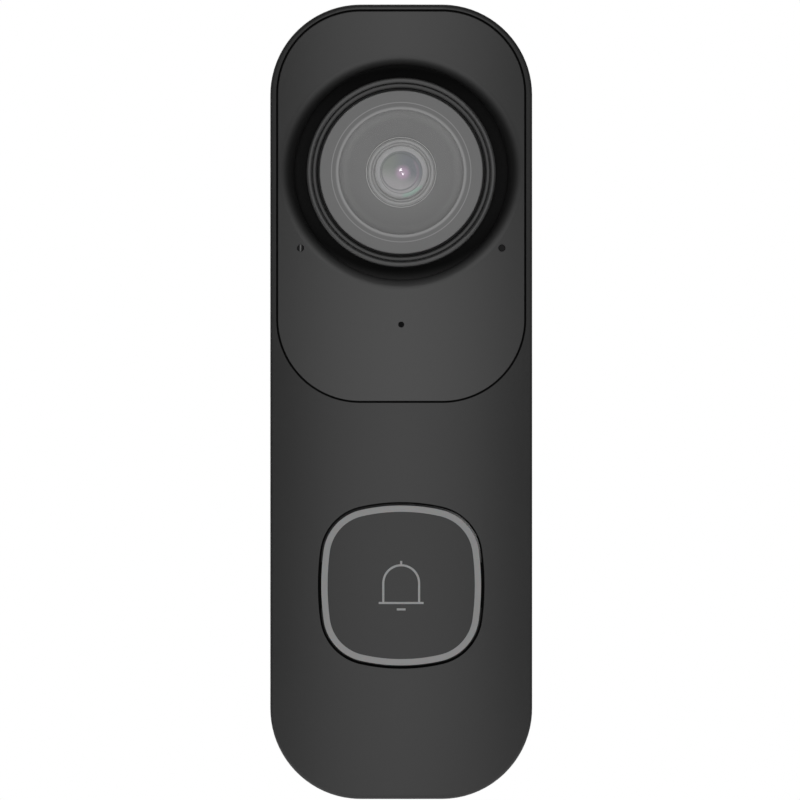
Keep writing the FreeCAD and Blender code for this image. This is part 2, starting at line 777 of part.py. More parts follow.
def rear_cover():
    """The back tray that hangs on the bracket and carries the wiring bay."""
    cover = Piece("rear_cover")
    cover.pad(BACK, "parting_depth", body_outline(0))
    cover.pocket(CAVITY_BACK, "parting_depth", body_outline("side_wall"))
    cover.pocket("parting_depth - seal_height", "parting_depth",
                 body_outline("seal_inset"), body_outline("seal_inset + seal_width"))
    cover.pad(CAVITY_BACK, "parting_depth", *discs(CASE_POSTS, "case_post_radius"))
    cover.pad(CAVITY_BACK, "main_board_depth", *discs(BOARD_RESTS, "small_head_radius"))
    cover_islands(cover)
    cover_recesses(cover)
    cover_holes(cover)
    cover.finish()


def case_gasket():
    gasket = Piece("case_gasket")
    gasket.pad("parting_depth - seal_height", "parting_depth",
               body_outline("seal_inset"), body_outline("seal_inset + seal_width"))
    gasket.finish()


def housing_block():
    """The housing's outer form: a plain outline under the crown, with its front edge rounded."""
    block = Piece("housing_block")
    block.pad("parting_depth", "body_depth", body_outline(0))
    block.cut_crown("body_depth", BEYOND)
    block.soften("edge_round", on_crown)
    return block.body


def housing_core():
    """Everything that is hollow in the housing: the room inside, less the posts, and the openings."""
    core = Piece("housing_core")
    core.pad("parting_depth", BACKING_DEPTH, body_outline("side_wall"))
    core.cut_crown(BACKING_DEPTH, BEYOND)
    top = "(panel_bottom_z - panel_gap - front_wall)"
    core.pad("parting_depth", INNER_TOP,
             rounded(0, f"({top} + {FLOOR_Z}) / 2", "body_width - 2 * side_wall", f"{top} - {FLOOR_Z}",
                     "body_corner - side_wall"))
    core.cut_crown(INNER_TOP, BEYOND)
    for x, z in CASE_POSTS:
        core.pocket("parting_depth", BEYOND,
                    *ring(x, z, "case_post_radius", "case_screw_radius + thread_gap"))
    for x, z in BUTTON_POSTS:
        core.pocket(BOARD_FRONT, BEYOND,
                    *ring(x, z, "button_post_radius", "small_screw_radius + thread_gap"))
    core.pad("parting_depth", BEYOND, circle(0, "camera_z", f"{COLLAR_RADIUS} + running_gap"))
    core.pad("parting_depth", BEYOND, soft_square(0))
    core.pad("parting_depth", BEYOND, *discs(DOTS, "dot_radius + fit_gap"))
    core.pad("parting_depth", BEYOND, circle(0, "microphone_z", "microphone_hole"))
    slots = [rectangle(f"{i} * sound_slot_pitch", "-speaker_middle", "sound_slot_width", "sound_slot_depth")
             for i in range(-2, 3)]
    core.pad_up("-body_height / 2 - 1", f"{FLOOR_Z} + sound_slot_overlap", *slots)
    return core.body


def panel_recess():
    """The shallow recess that the camera panel lies in."""
    recess = Piece("panel_recess")
    recess.pad("parting_depth", BEYOND,
               rounded(0, PANEL_Z, f"{PANEL_WIDTH} + 2 * panel_gap", f"{PANEL_HEIGHT} + 2 * panel_gap",
                       "panel_corner + panel_gap"))
    recess.cut_crown(SEAT_DEPTH, "parting_depth - 1")
    return recess.body


def camera_panel():
    """The crowned upper face, dished to a round moat about the camera."""
    panel = Piece("camera_panel")
    panel.pad("parting_depth", "body_depth", rounded(0, PANEL_Z, PANEL_WIDTH, PANEL_HEIGHT, "panel_corner"))
    panel.cut_crown("body_depth", BEYOND)
    panel.cut_crown(PANEL_BACK, "parting_depth - 1")
    panel.pad(MOAT_BACK, "body_depth", circle(0, "camera_z", COLLAR_RADIUS))
    panel.cut_crown("body_depth", BEYOND)
    panel.pocket("moat_depth", BEYOND, circle(0, "camera_z", "moat_radius"))
    panel.pocket(f"{MOAT_BACK} - 1", "moat_depth", circle(0, "camera_z", "bezel_radius + fit_gap"))
    panel.soften("moat_rim_round", lambda edge: on_crown(edge) and on_ring(edge, "moat_radius"))
    rim = "moat_radius + moat_rim_round"
    panel.soften("panel_edge_round", lambda edge: on_crown(edge) and not on_ring(edge, rim))
    panel.pocket("parting_depth", BEYOND,
                 *discs(DOTS, "dot_radius"), circle(0, "microphone_z", "microphone_hole"))
    panel.finish()


# ---------------------------------------------------------------- camera


def lens_bezel():
    """The raised round housing of the camera, with a flange behind the panel and posts for its board."""
    bezel = Piece("lens_bezel")
    bezel.pad(FLANGE_BACK, FLANGE_FRONT, *camera_ring("moat_radius", "bezel_bore"))
    bezel.pad(FLANGE_FRONT, "bezel_depth", *camera_ring("bezel_radius", "bezel_bore"))
    bezel.pad(SHELF_BACK, SHELF_FRONT, *camera_ring("bezel_bore + bezel_wall / 8", SHELF_BORE))
    bezel.soften("bezel_round", at_bezel_front)
    bezel.pad(BOARD_FRONT, FLANGE_BACK, *discs(CAMERA_POSTS, "camera_post_radius"))
    bezel.pocket(BOARD_FRONT, f"{FLANGE_FRONT} - camera_thread_cover",
                 *discs(CAMERA_POSTS, "small_screw_radius + thread_gap"))
    bezel.finish()


def round_part(name, *steps):
    """A turned part on the camera's axis: each step is (start, end, outer radius, inner radius)."""
    part = Piece(name)
    for start, end, outer, inner in steps:
        part.pad(start, end, *camera_ring(outer, inner))
    part.finish()


def window_pieces():
    round_part("bezel_seal",
               (FLANGE_FRONT, MOAT_BACK, "moat_radius - bezel_seal_inset", "bezel_radius + 2 * fit_gap"))
    round_part("window_retaining_ring",
               (SHELF_FRONT, "bezel_depth - retainer_recess", RETAINER_RADIUS,
                f"{RETAINER_RADIUS} - retainer_width"))
    round_part("window_gasket",
               (SHELF_FRONT, WINDOW_BACK, GASKET_RADIUS, "window_radius - gasket_lip"),
               (WINDOW_BACK, f"{WINDOW_FRONT} - gasket_recess", GASKET_RADIUS, "window_radius + thread_gap"))
    window = Piece("lens_window")
    window.pad(WINDOW_BACK, WINDOW_FRONT, circle(0, "camera_z", "window_radius"))
    window.finish()
    lips = [(SURROUND_FRONT, f"{SURROUND_FRONT} + lip_height", f"window_radius - {inset} + lip_width / 2",
             f"window_radius - {inset} - lip_width / 2") for inset in ("outer_lip_inset", "inner_lip_inset")]
    flange_front = f"({SHELF_BACK} - panel_seat_gap)"
    bore = "barrel_radius + running_gap"
    round_part("lens_surround",
               (f"{flange_front} - surround_flange", flange_front, RETAINER_RADIUS, bore),
               (flange_front, SURROUND_FRONT, f"{SHELF_BORE} - fit_gap", bore),
               *lips)


def lens_pieces():
    barrel = Piece("lens_barrel")
    barrel.pad(HOLDER_SEAT, BARREL_FRONT, circle(0, "camera_z", "barrel_radius"))
    barrel.pocket(f"{BARREL_FRONT} - barrel_step_depth", BARREL_FRONT,
                  circle(0, "camera_z", "barrel_step_radius"))
    barrel.pocket(LENS_SEAT, BARREL_FRONT, circle(0, "camera_z", "barrel_inner_step"))
    barrel.pocket(f"{LENS_SEAT} - front_lens_thickness", LENS_SEAT,
                  circle(0, "camera_z", "front_lens_radius + thread_gap"))
    barrel.pocket(HOLDER_SEAT, LENS_SEAT, circle(0, "camera_z", "aperture_radius"))
    barrel.finish()
    rear = Piece("rear_lens")
    rear.pad(HOLDER_SEAT, f"{HOLDER_SEAT} + rear_lens_thickness",
             circle(0, "camera_z", "aperture_radius - thread_gap"))
    rear.finish()
    front_lens()


def front_lens():
    """The outer lens: a short cylinder under a spherical dome."""
    front = f"({LENS_SEAT} + front_lens_proud)"
    back = f"({LENS_SEAT} - front_lens_thickness)"
    disc = doc.addObject("Part::Cylinder", "lens_disc")
    disc.Placement.Rotation = Rotation(Vector(1, 0, 0), 90)
    bind(disc, Radius="front_lens_radius", Height=f"{front} - {back}",
         Placement__Base__y=f"-{back}", Placement__Base__z="camera_z")
    dome = doc.addObject("Part::Sphere", "lens_dome")
    bind(dome, Radius="lens_dome", Placement__Base__y=f"lens_dome - {front}", Placement__Base__z="camera_z")
    lens = doc.addObject("Part::Common", "front_lens")
    lens.Base = disc
    lens.Tool = dome
    lens.Label = "front_lens"
    finished["front_lens"] = lens


def lens_holder():
    holder = Piece("lens_holder")
    holder.pad(BOX_FRONT, HOLDER_SEAT, rectangle(0, "camera_z", "filter_box_width", "filter_box_height"))
    holder.pad(HOLDER_SEAT, HOLDER_FRONT,
               *camera_ring("barrel_radius + holder_wall", "barrel_radius + thread_gap"))
    holder.pocket(BOX_FRONT, HOLDER_SEAT, circle(0, "camera_z", "aperture_radius"))
    holder.finish()


def infrared_lights():
    """A ring board round the barrel with six infrared lights."""
    round_part("infrared_board",
               (HOLDER_FRONT, LED_BACK, "bezel_bore - infrared_board_margin", "barrel_radius + running_gap"))
    case_front = f"({LED_BACK} + infrared_led_height * 0.7)"
    leds = Piece("infrared_leds")
    for turn in range(0, 360, 60):
        x, z = f"infrared_led_circle * cos({turn})", f"camera_z + infrared_led_circle * sin({turn})"
        leds.pad(LED_BACK, case_front, rectangle(x, z, "infrared_led_size", "infrared_led_size"))
        leds.pad(case_front, f"{LED_BACK} + infrared_led_height", circle(x, z, "infrared_led_size / 3"))
    leds.finish()


def filter_pieces():
    """The infrared filter: a two-pane carrier that slides sideways behind the lens, drawn by a small coil."""
    box = Piece("filter_housing")
    walls = "2 * filter_wall"
    margins = "2 * sensor_margin"
    box.pad(BOARD_FRONT, BOX_FRONT, rectangle(0, "camera_z", "filter_box_width", "filter_box_height"))
    box.pocket(BOARD_FRONT, SLOT_BACK,
               rectangle(0, "camera_z", f"sensor_width + {margins}", f"sensor_height + {margins}"))
    box.pocket(SLOT_BACK, BOX_FRONT,
               rectangle(0, "camera_z", f"filter_box_width - {walls}", f"filter_box_height - {walls}"))
    box.pocket(SLOT_BACK, BOX_FRONT,
               rectangle("filter_box_width / 2", "camera_z", f"2 * {walls}", "drive_tab_width + 2 * running_gap"))
    box.finish()

    start = f"({SLOT_BACK} + filter_float)"
    end = f"({start} + filter_thickness)"
    panes = (("filter_glass", 0), ("clear_glass", "filter_travel"))
    carrier = Piece("filter_carrier")
    carrier.pad(start, end, rectangle(FILTER_X, "camera_z", "carrier_length", "carrier_width"))
    carrier.pocket(start, end, *[rectangle(x, "camera_z", "pane_width", "pane_height") for name, x in panes])
    carrier.pad(start, end,
                rectangle("(tab_start + tab_end) / 2", "camera_z", "tab_end - tab_start", "drive_tab_width"))
    carrier.finish()
    for name, x in panes:
        pane = Piece(name)
        pane.pad(start, f"{start} + pane_thickness", rectangle(x, "camera_z", "pane_width", "pane_height"))
        pane.finish()

    coil = Piece("filter_coil")
    middle, length = "(coil_start + coil_end) / 2", "(coil_end - coil_start)"
    coil.pad(BOARD_FRONT, f"{BOARD_FRONT} + coil_height", rectangle(middle, "camera_z", length, "coil_width"))
    coil.pocket(f"{SLOT_BACK} - running_gap", f"{BOARD_FRONT} + coil_height",
                rectangle(middle, "camera_z", f"{length} + 1", "drive_tab_width + 2 * running_gap"))
    coil.finish()


def camera_board():
    board = Piece("camera_board")
    board.pad("front_board_depth", BOARD_FRONT,
              rounded(0, "camera_z", "camera_board_width", "camera_board_height", "board_corner"))
    board.pocket("front_board_depth", BOARD_FRONT, *discs(CAMERA_POSTS, "small_screw_radius + fit_gap"))
    board.finish()
    screws("camera_screws", CAMERA_POSTS, SCREW_BACK, f"{FLANGE_FRONT} - 2 * camera_thread_cover",
           "small_screw_radius", "small_head_radius", "small_head_height")
    sensor = Piece("image_sensor")
    sensor.pad(BOARD_FRONT, f"{BOARD_FRONT} + sensor_thickness",
               rectangle(0, "camera_z", "sensor_width", "sensor_height"))
    sensor.finish()


def small_windows():
    """The light sensor on the left, the status light on the right, and the clear pipe before each."""
    for (x, z), chip_name, pipe_name in zip(DOTS, ("light_sensor", "status_led"),
                                            ("light_sensor_pipe", "status_light_pipe")):
        chip = Piece(chip_name)
        chip.pad(BOARD_FRONT, CHIP_FRONT, rectangle(x, z, "chip_size", "chip_size"))
        chip.finish()
        pipe = Piece(pipe_name)
        pipe.pad(CHIP_FRONT, total(CHIP_FRONT, "pipe_flange"), circle(x, z, "chip_size / 2"))
        pipe.pad(total(CHIP_FRONT, "pipe_flange"), f"{DOT_DEPTH} - dot_recess",
                 circle(x, z, "dot_radius - dot_pipe_gap"))
        pipe.finish()


def microphone():
    """The microphone in its rubber boot behind the small hole in the panel."""
    boot_front = f"({BACKING_DEPTH} - boot_gap)"
    seat = f"({boot_front} - boot_front)"
    boot = Piece("microphone_boot")
    boot.pad(seat, boot_front, *ring(0, "microphone_z", "microphone_radius + boot_wall", "microphone_hole"))
    boot.pad(f"{seat} - microphone_height", seat,
             *ring(0, "microphone_z", "microphone_radius + boot_wall", "microphone_radius + thread_gap"))
    boot.finish()
    capsule = Piece("microphone")
    capsule.pad(f"{seat} - microphone_height", seat, circle(0, "microphone_z", "microphone_radius"))
    capsule.finish()


# ---------------------------------------------------------------- push button


def bell_icon():
    """The bell inlaid in the button: an arched outline, a brim, a clapper and a stud."""
    floor = "(body_depth - icon_recess)"
    centre = "(button_z + bell_centre)"
    brim = "(button_z + bell_brim)"
    icon = Piece("bell_icon")
    icon.pad(floor, "body_depth", *ring(0, centre, "bell_radius", "bell_radius - icon_stroke"))
    icon.pocket(floor, "body_depth",
                rectangle(0, f"{centre} - bell_radius", "3 * bell_radius", "2 * bell_radius"))
    leg_x = "(bell_radius - icon_stroke / 2)"
    strokes = [(f"{side} * {leg_x}", f"({centre} + {brim}) / 2", "icon_stroke", f"{centre} - {brim}")
               for side in SIDES]
    strokes += [
        (0, brim, "bell_brim_width", "icon_stroke"),
        (0, "button_z + bell_stud", "icon_stroke", "icon_stroke * 2"),
        (0, "button_z + bell_clapper", "bell_clapper_width", "icon_stroke"),
    ]
    for stroke in strokes:
        icon.pad(floor, "body_depth", rectangle(*stroke))
    icon.cut_crown("body_depth", BEYOND)
    icon.finish()
    return icon.body


def button_cap():
    cap = Piece("cap_block")
    cap.pad(CARRIER_FRONT, "body_depth", soft_square(CAP_INSET))
    cap.cut_crown("body_depth", BEYOND)
    cap.pocket(CARRIER_FRONT, "body_depth - cap_thickness", soft_square(f"{CAP_INSET} + side_wall"))
    subtract("button_cap", cap.body, bell_icon())


def button_light_ring():
    light = Piece("button_light_ring")
    light.pad(CARRIER_FRONT, "body_depth", soft_square("button_gap"), soft_square(CAP_INSET))
    light.cut_crown("body_depth", BEYOND)
    light.finish()


def button_carrier():
    """The clear plate under the cap that spreads the light, with a catch each side behind the housing."""
    carrier = Piece("button_carrier")
    reach = "(opening_half + catch_reach)"

    def wing(inner, end):
        for side in SIDES:
            x = f"{side} * ({inner} + {reach}) / 2"
            width = f"{reach} - {inner}"
            carrier.pad("carrier_depth", end, rectangle(x, "button_z", width, "catch_width"))

    wing("(opening_half + catch_clearance)", "body_depth")
    carrier.cut_crown(f"{INNER_TOP} - panel_seat_gap", BEYOND)
    wing("(opening_half - catch_root)", CARRIER_FRONT)
    carrier.pad("carrier_depth", CARRIER_FRONT, soft_square("button_gap"))
    carrier.finish()


def button_electronics():
    """The board behind the button, its switch, ring of lights, light seal and screws."""
    board = Piece("button_board")
    board.pad("front_board_depth", BOARD_FRONT,
              rounded(0, "button_z", "button_board_width", "button_board_height", "board_corner"))
    board.pocket("front_board_depth", BOARD_FRONT, *discs(BUTTON_POSTS, "small_screw_radius + fit_gap"))
    board.finish()
    screws("button_screws", BUTTON_POSTS, SCREW_BACK, f"{BOARD_FRONT} + button_screw_reach",
           "small_screw_radius", "small_head_radius", "small_head_height")

    switch = Piece("button_switch")
    switch_front = f"({BOARD_FRONT} + switch_height)"
    plunger_back = f"({switch_front} - button_travel - plunger_sink)"
    switch.pad(BOARD_FRONT, switch_front, rectangle(0, "button_z", "switch_size", "switch_size"))
    switch.pocket(f"{plunger_back} - button_travel - plunger_clearance", switch_front,
                  circle(0, "button_z", "plunger_radius + plunger_gap"))
    switch.finish()
    plunger = Piece("switch_plunger")
    plunger.pad(plunger_back, "carrier_depth", circle(0, "button_z", "plunger_radius"))
    plunger.finish()

    leds = Piece("button_leds")
    far, near = "(opening_half - button_led_inset)", "button_led_spacing / 2"
    places = [(f"{i} * {a}", f"button_z + {j} * {b}")
              for a, b in ((far, near), (near, far)) for i in SIDES for j in SIDES]
    leds.pad(BOARD_FRONT, f"{BOARD_FRONT} + chip_height",
             *[rectangle(x, z, "button_led_size", "button_led_size") for x, z in places])
    leds.finish()
    seal = Piece("button_light_seal")
    seal.pad(BOARD_FRONT, "carrier_depth - button_travel - running_gap",
             soft_square("-light_seal_outset"), soft_square("light_seal_inset"))
    seal.finish()


# ---------------------------------------------------------------- boards, sound and power


def main_board():
    board = Piece("main_board")
    board.pad("main_board_depth", MAIN_FRONT, body_outline("main_board_inset"))
    board.pocket("main_board_depth", MAIN_FRONT, *discs(CASE_POSTS, "case_post_radius + running_gap"))
    board.finish()


def block(name, height, *loops):
    """Plain parts that stand on the front of the main board."""
    part = Piece(name)
    part.pad(MAIN_FRONT, f"{MAIN_FRONT} + ({height})", *loops)
    part.finish()


def main_board_parts():
    block("shield_can", "can_thickness", rounded(0, "can_z", "can_width", "can_height", "can_corner"))
    block("wireless_antenna", "antenna_thickness",
          rectangle(0, "antenna_z", "antenna_width", "antenna_height"))
    block("power_inductor", "inductor_height",
          rounded("inductor_x", "power_z", "inductor_size", "inductor_size", "can_corner"))
    block("power_capacitors", "capacitor_height",
          *[circle(f"capacitor_x + {k} * capacitor_pitch", "power_z", "capacitor_radius") for k in (0, 1)])
    block("board_connectors", f"front_board_depth - {MAIN_FRONT}",
          *[rectangle(0, z, "connector_width", "connector_height")
            for z in ("camera_z + camera_connector_rise", "button_z + button_connector_rise")])


def loudspeaker():
    """A small speaker that faces down through the slots in the bottom edge."""
    seal_top = f"({FLOOR_Z} + speaker_seal_height)"
    middle = "-speaker_middle"
    opening = rectangle(0, middle, "speaker_width - 2 * speaker_rim", "speaker_depth - 2 * speaker_rim")
    seal = Piece("speaker_seal")
    edge = rectangle(0, middle, "speaker_width - 2 * speaker_seal_side",
                     "speaker_depth - 2 * speaker_seal_edge")
    seal.pad_up(FLOOR_Z, seal_top, edge, opening)
    seal.finish()
    frame = Piece("speaker_frame")
    frame.pad_up(seal_top, f"{seal_top} + speaker_height",
                 rectangle(0, middle, "speaker_width", "speaker_depth"))
    frame.pocket_up(seal_top, f"{seal_top} + speaker_basin", opening)
    frame.finish()
    cone = Piece("speaker_cone")
    cone.pad_up(f"{seal_top} + cone_recess", f"{seal_top} + cone_recess + cone_thickness", opening)
    cone.finish()


def wiring():
    """Terminal screws in the bay, and the plates that carry the current to the board."""
    plates = Piece("terminal_plates")
    plates.pad(BAY_FRONT, "main_board_depth",
               *[rectangle(x, z, "terminal_plate", "terminal_plate") for x, z in TERMINALS])
    plates.pocket(BAY_FRONT, "main_board_depth", *discs(TERMINALS, "terminal_shank_radius + thread_gap"))
    plates.finish()
    screws("terminal_screws", TERMINALS, f"({BAY_BACK} - terminal_head_height)",
           "main_board_depth - terminal_tip_gap", "terminal_shank_radius", "terminal_head_radius",
           "terminal_head_height")


def reset_parts():
    """The reset button in the back wall, and the switch it reaches."""
    button = Piece("reset_button")
    flange_front = f"({CAVITY_BACK} + reset_flange)"
    switch_back = "(main_board_depth - reset_switch_height)"
    button.pad("bracket_thickness + reset_recess", CAVITY_BACK, circle(0, "reset_z", "reset_radius"))
    button.pad(CAVITY_BACK, flange_front, circle(0, "reset_z", "reset_radius + reset_flange_width"))
    button.pad(flange_front, f"{switch_back} + reset_stem_overlap", circle(0, "reset_z", "reset_stem_radius"))
    button.finish()
    switch = Piece("reset_switch")
    switch.pad(switch_back, "main_board_depth", rectangle(0, "reset_z", "switch_size", "switch_size"))
    switch.pocket(switch_back, f"{switch_back} + reset_switch_well + reset_travel",
                  circle(0, "reset_z", "reset_stem_radius + reset_stem_gap"))
    switch.finish()


def security_screw():
    """The screw driven up through the bottom edge into the bracket's lug."""
    screw = Piece("security_screw")
    head_low = "(security_head_sink - body_height / 2)"
    head_top = "(security_head_sink + security_head_height - body_height / 2)"
    screw.pad_up(head_low, head_top, circle(0, f"-{LUG_DEPTH}", "security_head_radius"))
    screw.pad_up(head_top, "lug_z + lug_height / 2", circle(0, f"-{LUG_DEPTH}", "security_screw_radius"))
    drive = rectangle(0, f"-{LUG_DEPTH}", "security_screw_radius", "security_screw_radius")
    screw.pocket_up(head_low, f"{head_low} + security_head_height / 2", drive)
    screw.finish()


def build():
    fill_sheet()
    wall_bracket()
    rear_cover()
    case_gasket()
    subtract("front_housing", housing_block(), housing_core(), panel_recess())
    screws("case_screws", CASE_POSTS, "bracket_thickness + case_head_sink",
           "parting_depth + case_screw_reach", "case_screw_radius", "case_head_radius", "case_head_height")
    security_screw()
    camera_panel()
    lens_bezel()
    window_pieces()
    lens_pieces()
    lens_holder()
    infrared_lights()
    filter_pieces()
    camera_board()
    small_windows()
    microphone()
    button_cap()
    button_light_ring()
    button_carrier()
    button_electronics()
    main_board()
    main_board_parts()
    loudspeaker()
    wiring()
    reset_parts()
    doc.recompute()


def check():
    """Stop before anything is written if an object failed or a shape is missing or broken."""
    faults = [f"{thing.Label}: {thing.State}" for thing in doc.Objects
              if "Invalid" in thing.State or "Error" in thing.State]
    for name, piece in finished.items():
        if piece.Shape.isNull() or not piece.Shape.isValid() or not piece.Shape.Solids:
            faults.append(f"{name}: no valid shape")
    if faults:
        raise RuntimeError("; ".join(faults))


def export():
    os.makedirs(OUTPUT, exist_ok=True)
    for name, piece in finished.items():
        piece.Shape.exportStep(os.path.join(OUTPUT, f"{name}.step"))
        print(f"{name}: {len(piece.Shape.Solids)} solids, {piece.Shape.Volume:.1f} mm3")
    print(len(finished), "sub-parts")


build()
check()
export()
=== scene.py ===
# %% [markdown]
# # A video doorbell, finished in Blender
#
# The doorbell is a slim plastic unit that hangs on a wall. A round camera stands proud of its upper half
# inside a dark moat, and a soft square push button with a pale ring sits in its lower half. The packed model
# already holds every part at its real size. This script gives each part its finish, rebuilds the turned and
# fastened pieces in more detail, and lights the unit as a studio would.

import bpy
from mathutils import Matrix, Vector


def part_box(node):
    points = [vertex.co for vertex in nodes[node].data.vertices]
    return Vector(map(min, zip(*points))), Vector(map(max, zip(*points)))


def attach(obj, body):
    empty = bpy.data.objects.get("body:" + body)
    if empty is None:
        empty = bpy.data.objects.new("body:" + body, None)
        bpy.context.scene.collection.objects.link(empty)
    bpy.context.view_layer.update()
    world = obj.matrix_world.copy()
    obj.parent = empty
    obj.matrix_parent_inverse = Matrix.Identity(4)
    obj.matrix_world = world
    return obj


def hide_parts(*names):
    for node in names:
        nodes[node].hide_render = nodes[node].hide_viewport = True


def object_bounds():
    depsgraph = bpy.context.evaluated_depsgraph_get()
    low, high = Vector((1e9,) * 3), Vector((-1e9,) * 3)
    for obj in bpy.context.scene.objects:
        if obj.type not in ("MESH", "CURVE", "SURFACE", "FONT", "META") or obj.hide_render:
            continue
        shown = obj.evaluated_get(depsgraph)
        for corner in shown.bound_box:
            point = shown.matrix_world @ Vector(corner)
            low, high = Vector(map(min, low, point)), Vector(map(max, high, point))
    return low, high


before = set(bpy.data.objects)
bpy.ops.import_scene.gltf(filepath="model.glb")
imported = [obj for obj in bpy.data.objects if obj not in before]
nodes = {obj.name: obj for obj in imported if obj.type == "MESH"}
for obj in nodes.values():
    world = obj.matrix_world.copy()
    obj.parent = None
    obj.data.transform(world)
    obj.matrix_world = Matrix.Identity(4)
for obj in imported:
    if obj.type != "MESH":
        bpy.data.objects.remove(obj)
cad_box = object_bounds()

# %% [markdown]
# ## Camera
#
# A small product is best seen from far away through a very long lens, so that near and far parts keep the
# same scale and the sides don't lean. The lens here sees a square a little taller than the unit, measured
# where the unit's edge is, and the camera stands just far enough away for that.

# %% Set up the camera
import math

import bmesh
import bpy
from mathutils import Matrix, Vector

MM = 0.001
VIEW_WIDTH = 141.08 * MM
VIEW_CENTRE = Vector((-0.21 * MM, 0, 0.31 * MM))
LENS = 1000
SENSOR = 36
EDGE_DEPTH = 20 * MM

camera_data = bpy.data.cameras.new("camera")
camera_data.lens = LENS
camera_data.sensor_width = SENSOR
camera = bpy.data.objects.new("camera", camera_data)
camera_distance = VIEW_WIDTH * LENS / SENSOR
camera.location = VIEW_CENTRE - Vector((0, EDGE_DEPTH + camera_distance, 0))
camera.rotation_euler = (math.radians(90), 0, 0)
bpy.context.scene.collection.objects.link(camera)
bpy.context.scene.camera = camera
print("camera stands", round(camera_distance, 2), "m from the unit")

# %% [markdown]
# ## Light
#
# The front is one wide curve from side to side. A broad soft light straight ahead gives its middle an even
# sheen that fades towards both edges, which is how the eye reads the curve. Two small lamps near the lens
# axis only make the glints in the lens, and two more soft lights behind and above show the back and the top
# when the unit is turned.

# %% Soft lights
def soft_light(name, place, size, brightness, aim=(0, 0, 0)):
    """A rectangular light that faces a point and isn't seen itself. At 1 it is as bright as white paper."""
    data = bpy.data.lights.new(name, "AREA")
    data.shape = "RECTANGLE"
    data.size, data.size_y = size
    data.energy = brightness * math.pi * size[0] * size[1]
    light = bpy.data.objects.new(name, data)
    light.location = place
    light.rotation_euler = (Vector(aim) - Vector(place)).to_track_quat("-Z", "Y").to_euler()
    light.visible_camera = False
    bpy.context.scene.collection.objects.link(light)


LENS_AIM = (0, 0, 0.04)
soft_light("front_light", place=(0, -1.6, -0.1), size=(1.9, 2.5), brightness=1)
soft_light("top_light", place=(0, 0.5, 1.2), size=(0.9, 0.5), brightness=0.7)
soft_light("back_light", place=(-0.5, 1.6, 0.5), size=(1.6, 1.6), brightness=1.7)
soft_light("upper_glint", place=(-0.026, -1.58, 0.145), size=(0.09, 0.09), brightness=8, aim=LENS_AIM)
soft_light("lower_glint", place=(0.048, -1.58, -0.003), size=(0.07, 0.07), brightness=8, aim=LENS_AIM)

# %% [markdown]
# ## Writing shaders as sums
#
# A surface is easier to read as a formula than as a web of nodes. `Wire` wraps one output socket and turns
# Python's own operators into Math nodes. `Web` is a tree of nodes, and its `node` makes any node in a single
# call: its settings first, then the values or wires that go into its sockets.

# %% A socket that does arithmetic
class Wire:
    """An output socket of a web that can be used in a Python expression."""

    def __init__(self, web, socket):
        self.web = web
        self.socket = socket

    def maths(self, operation, *values):
        return self.web.node("Math", {"operation": operation}, dict(enumerate(values)))

    def __add__(self, other):
        return self.maths("ADD", self, other)

    def __sub__(self, other):
        return self.maths("SUBTRACT", self, other)

    def __rsub__(self, other):
        return self.maths("SUBTRACT", other, self)

    def __mul__(self, other):
        return self.maths("MULTIPLY", self, other)

    def __truediv__(self, other):
        return self.maths("DIVIDE", self, other)

    def __pow__(self, other):
        return self.maths("POWER", self, other)

    def __gt__(self, other):
        return self.maths("GREATER_THAN", self, other)

    def __lt__(self, other):
        return self.maths("LESS_THAN", self, other)

    def __mod__(self, other):
        return self.maths("FLOORED_MODULO", self, other)

    def __abs__(self):
        return self.maths("ABSOLUTE", self)

    def above(self, limit):
        return self.maths("MAXIMUM", self, limit)

    __radd__ = __add__
    __rmul__ = __mul__


print("a wire can:", ", ".join(name.strip("_") for name in vars(Wire) if callable(getattr(Wire, name))))

# %% A web of nodes
class Web:
    """A tree of nodes, each made in one call."""

    def __init__(self, tree):
        self.tree = tree

    def feed(self, socket, value):
        if isinstance(value, Wire):
            self.tree.links.new(value.socket, socket)
        else:
            socket.default_value = value

    def node(self, kind, settings, inputs, output=0):
        made = self.tree.nodes.new("ShaderNode" + kind)
        for name, value in settings.items():
            setattr(made, name, value)
        for key, value in inputs.items():
            self.feed(made.inputs[key], value)
        return Wire(self, made.outputs[output])


print("a web can:", ", ".join(name for name in vars(Web) if not name.startswith("_")))

# %% [markdown]
# ## The room
#
# The room that the plastic reflects is dim, so the moat round the camera and the gaps stay dark. The camera
# itself sees a white backdrop there. The Light Path node tells the two kinds of ray apart, and only the world
# uses it: no finish does.

# %% A dim room in front of a white backdrop
ROOM = (0.05, 0.05, 0.05, 1)
WHITE = (1, 1, 1, 1)
world = bpy.data.worlds.new("studio")
world.use_nodes = True
bpy.context.scene.world = world
sky = Web(world.node_tree)
sky.tree.nodes.remove(sky.tree.nodes["Background"])
room = sky.node("Background", {}, {"Color": ROOM})
backdrop = sky.node("Background", {}, {"Color": WHITE})
straight = sky.node("LightPath", {}, {}, "Is Camera Ray")
either = sky.node("MixShader", {}, {0: straight, 1: room, 2: backdrop})
sky.feed(sky.tree.nodes["World Output"].inputs["Surface"], either)
bpy.context.scene.view_settings.view_transform = "Standard"
print("view transform:", bpy.context.scene.view_settings.view_transform)

# %% [markdown]
# ## Finishes
#
# A finish is one Principled material and the patterns that vary it. Every pattern is worked out from the
# place on the object, in millimetres, so it stays on the part when the part moves. What is the same all over
# is set straight on the shader.

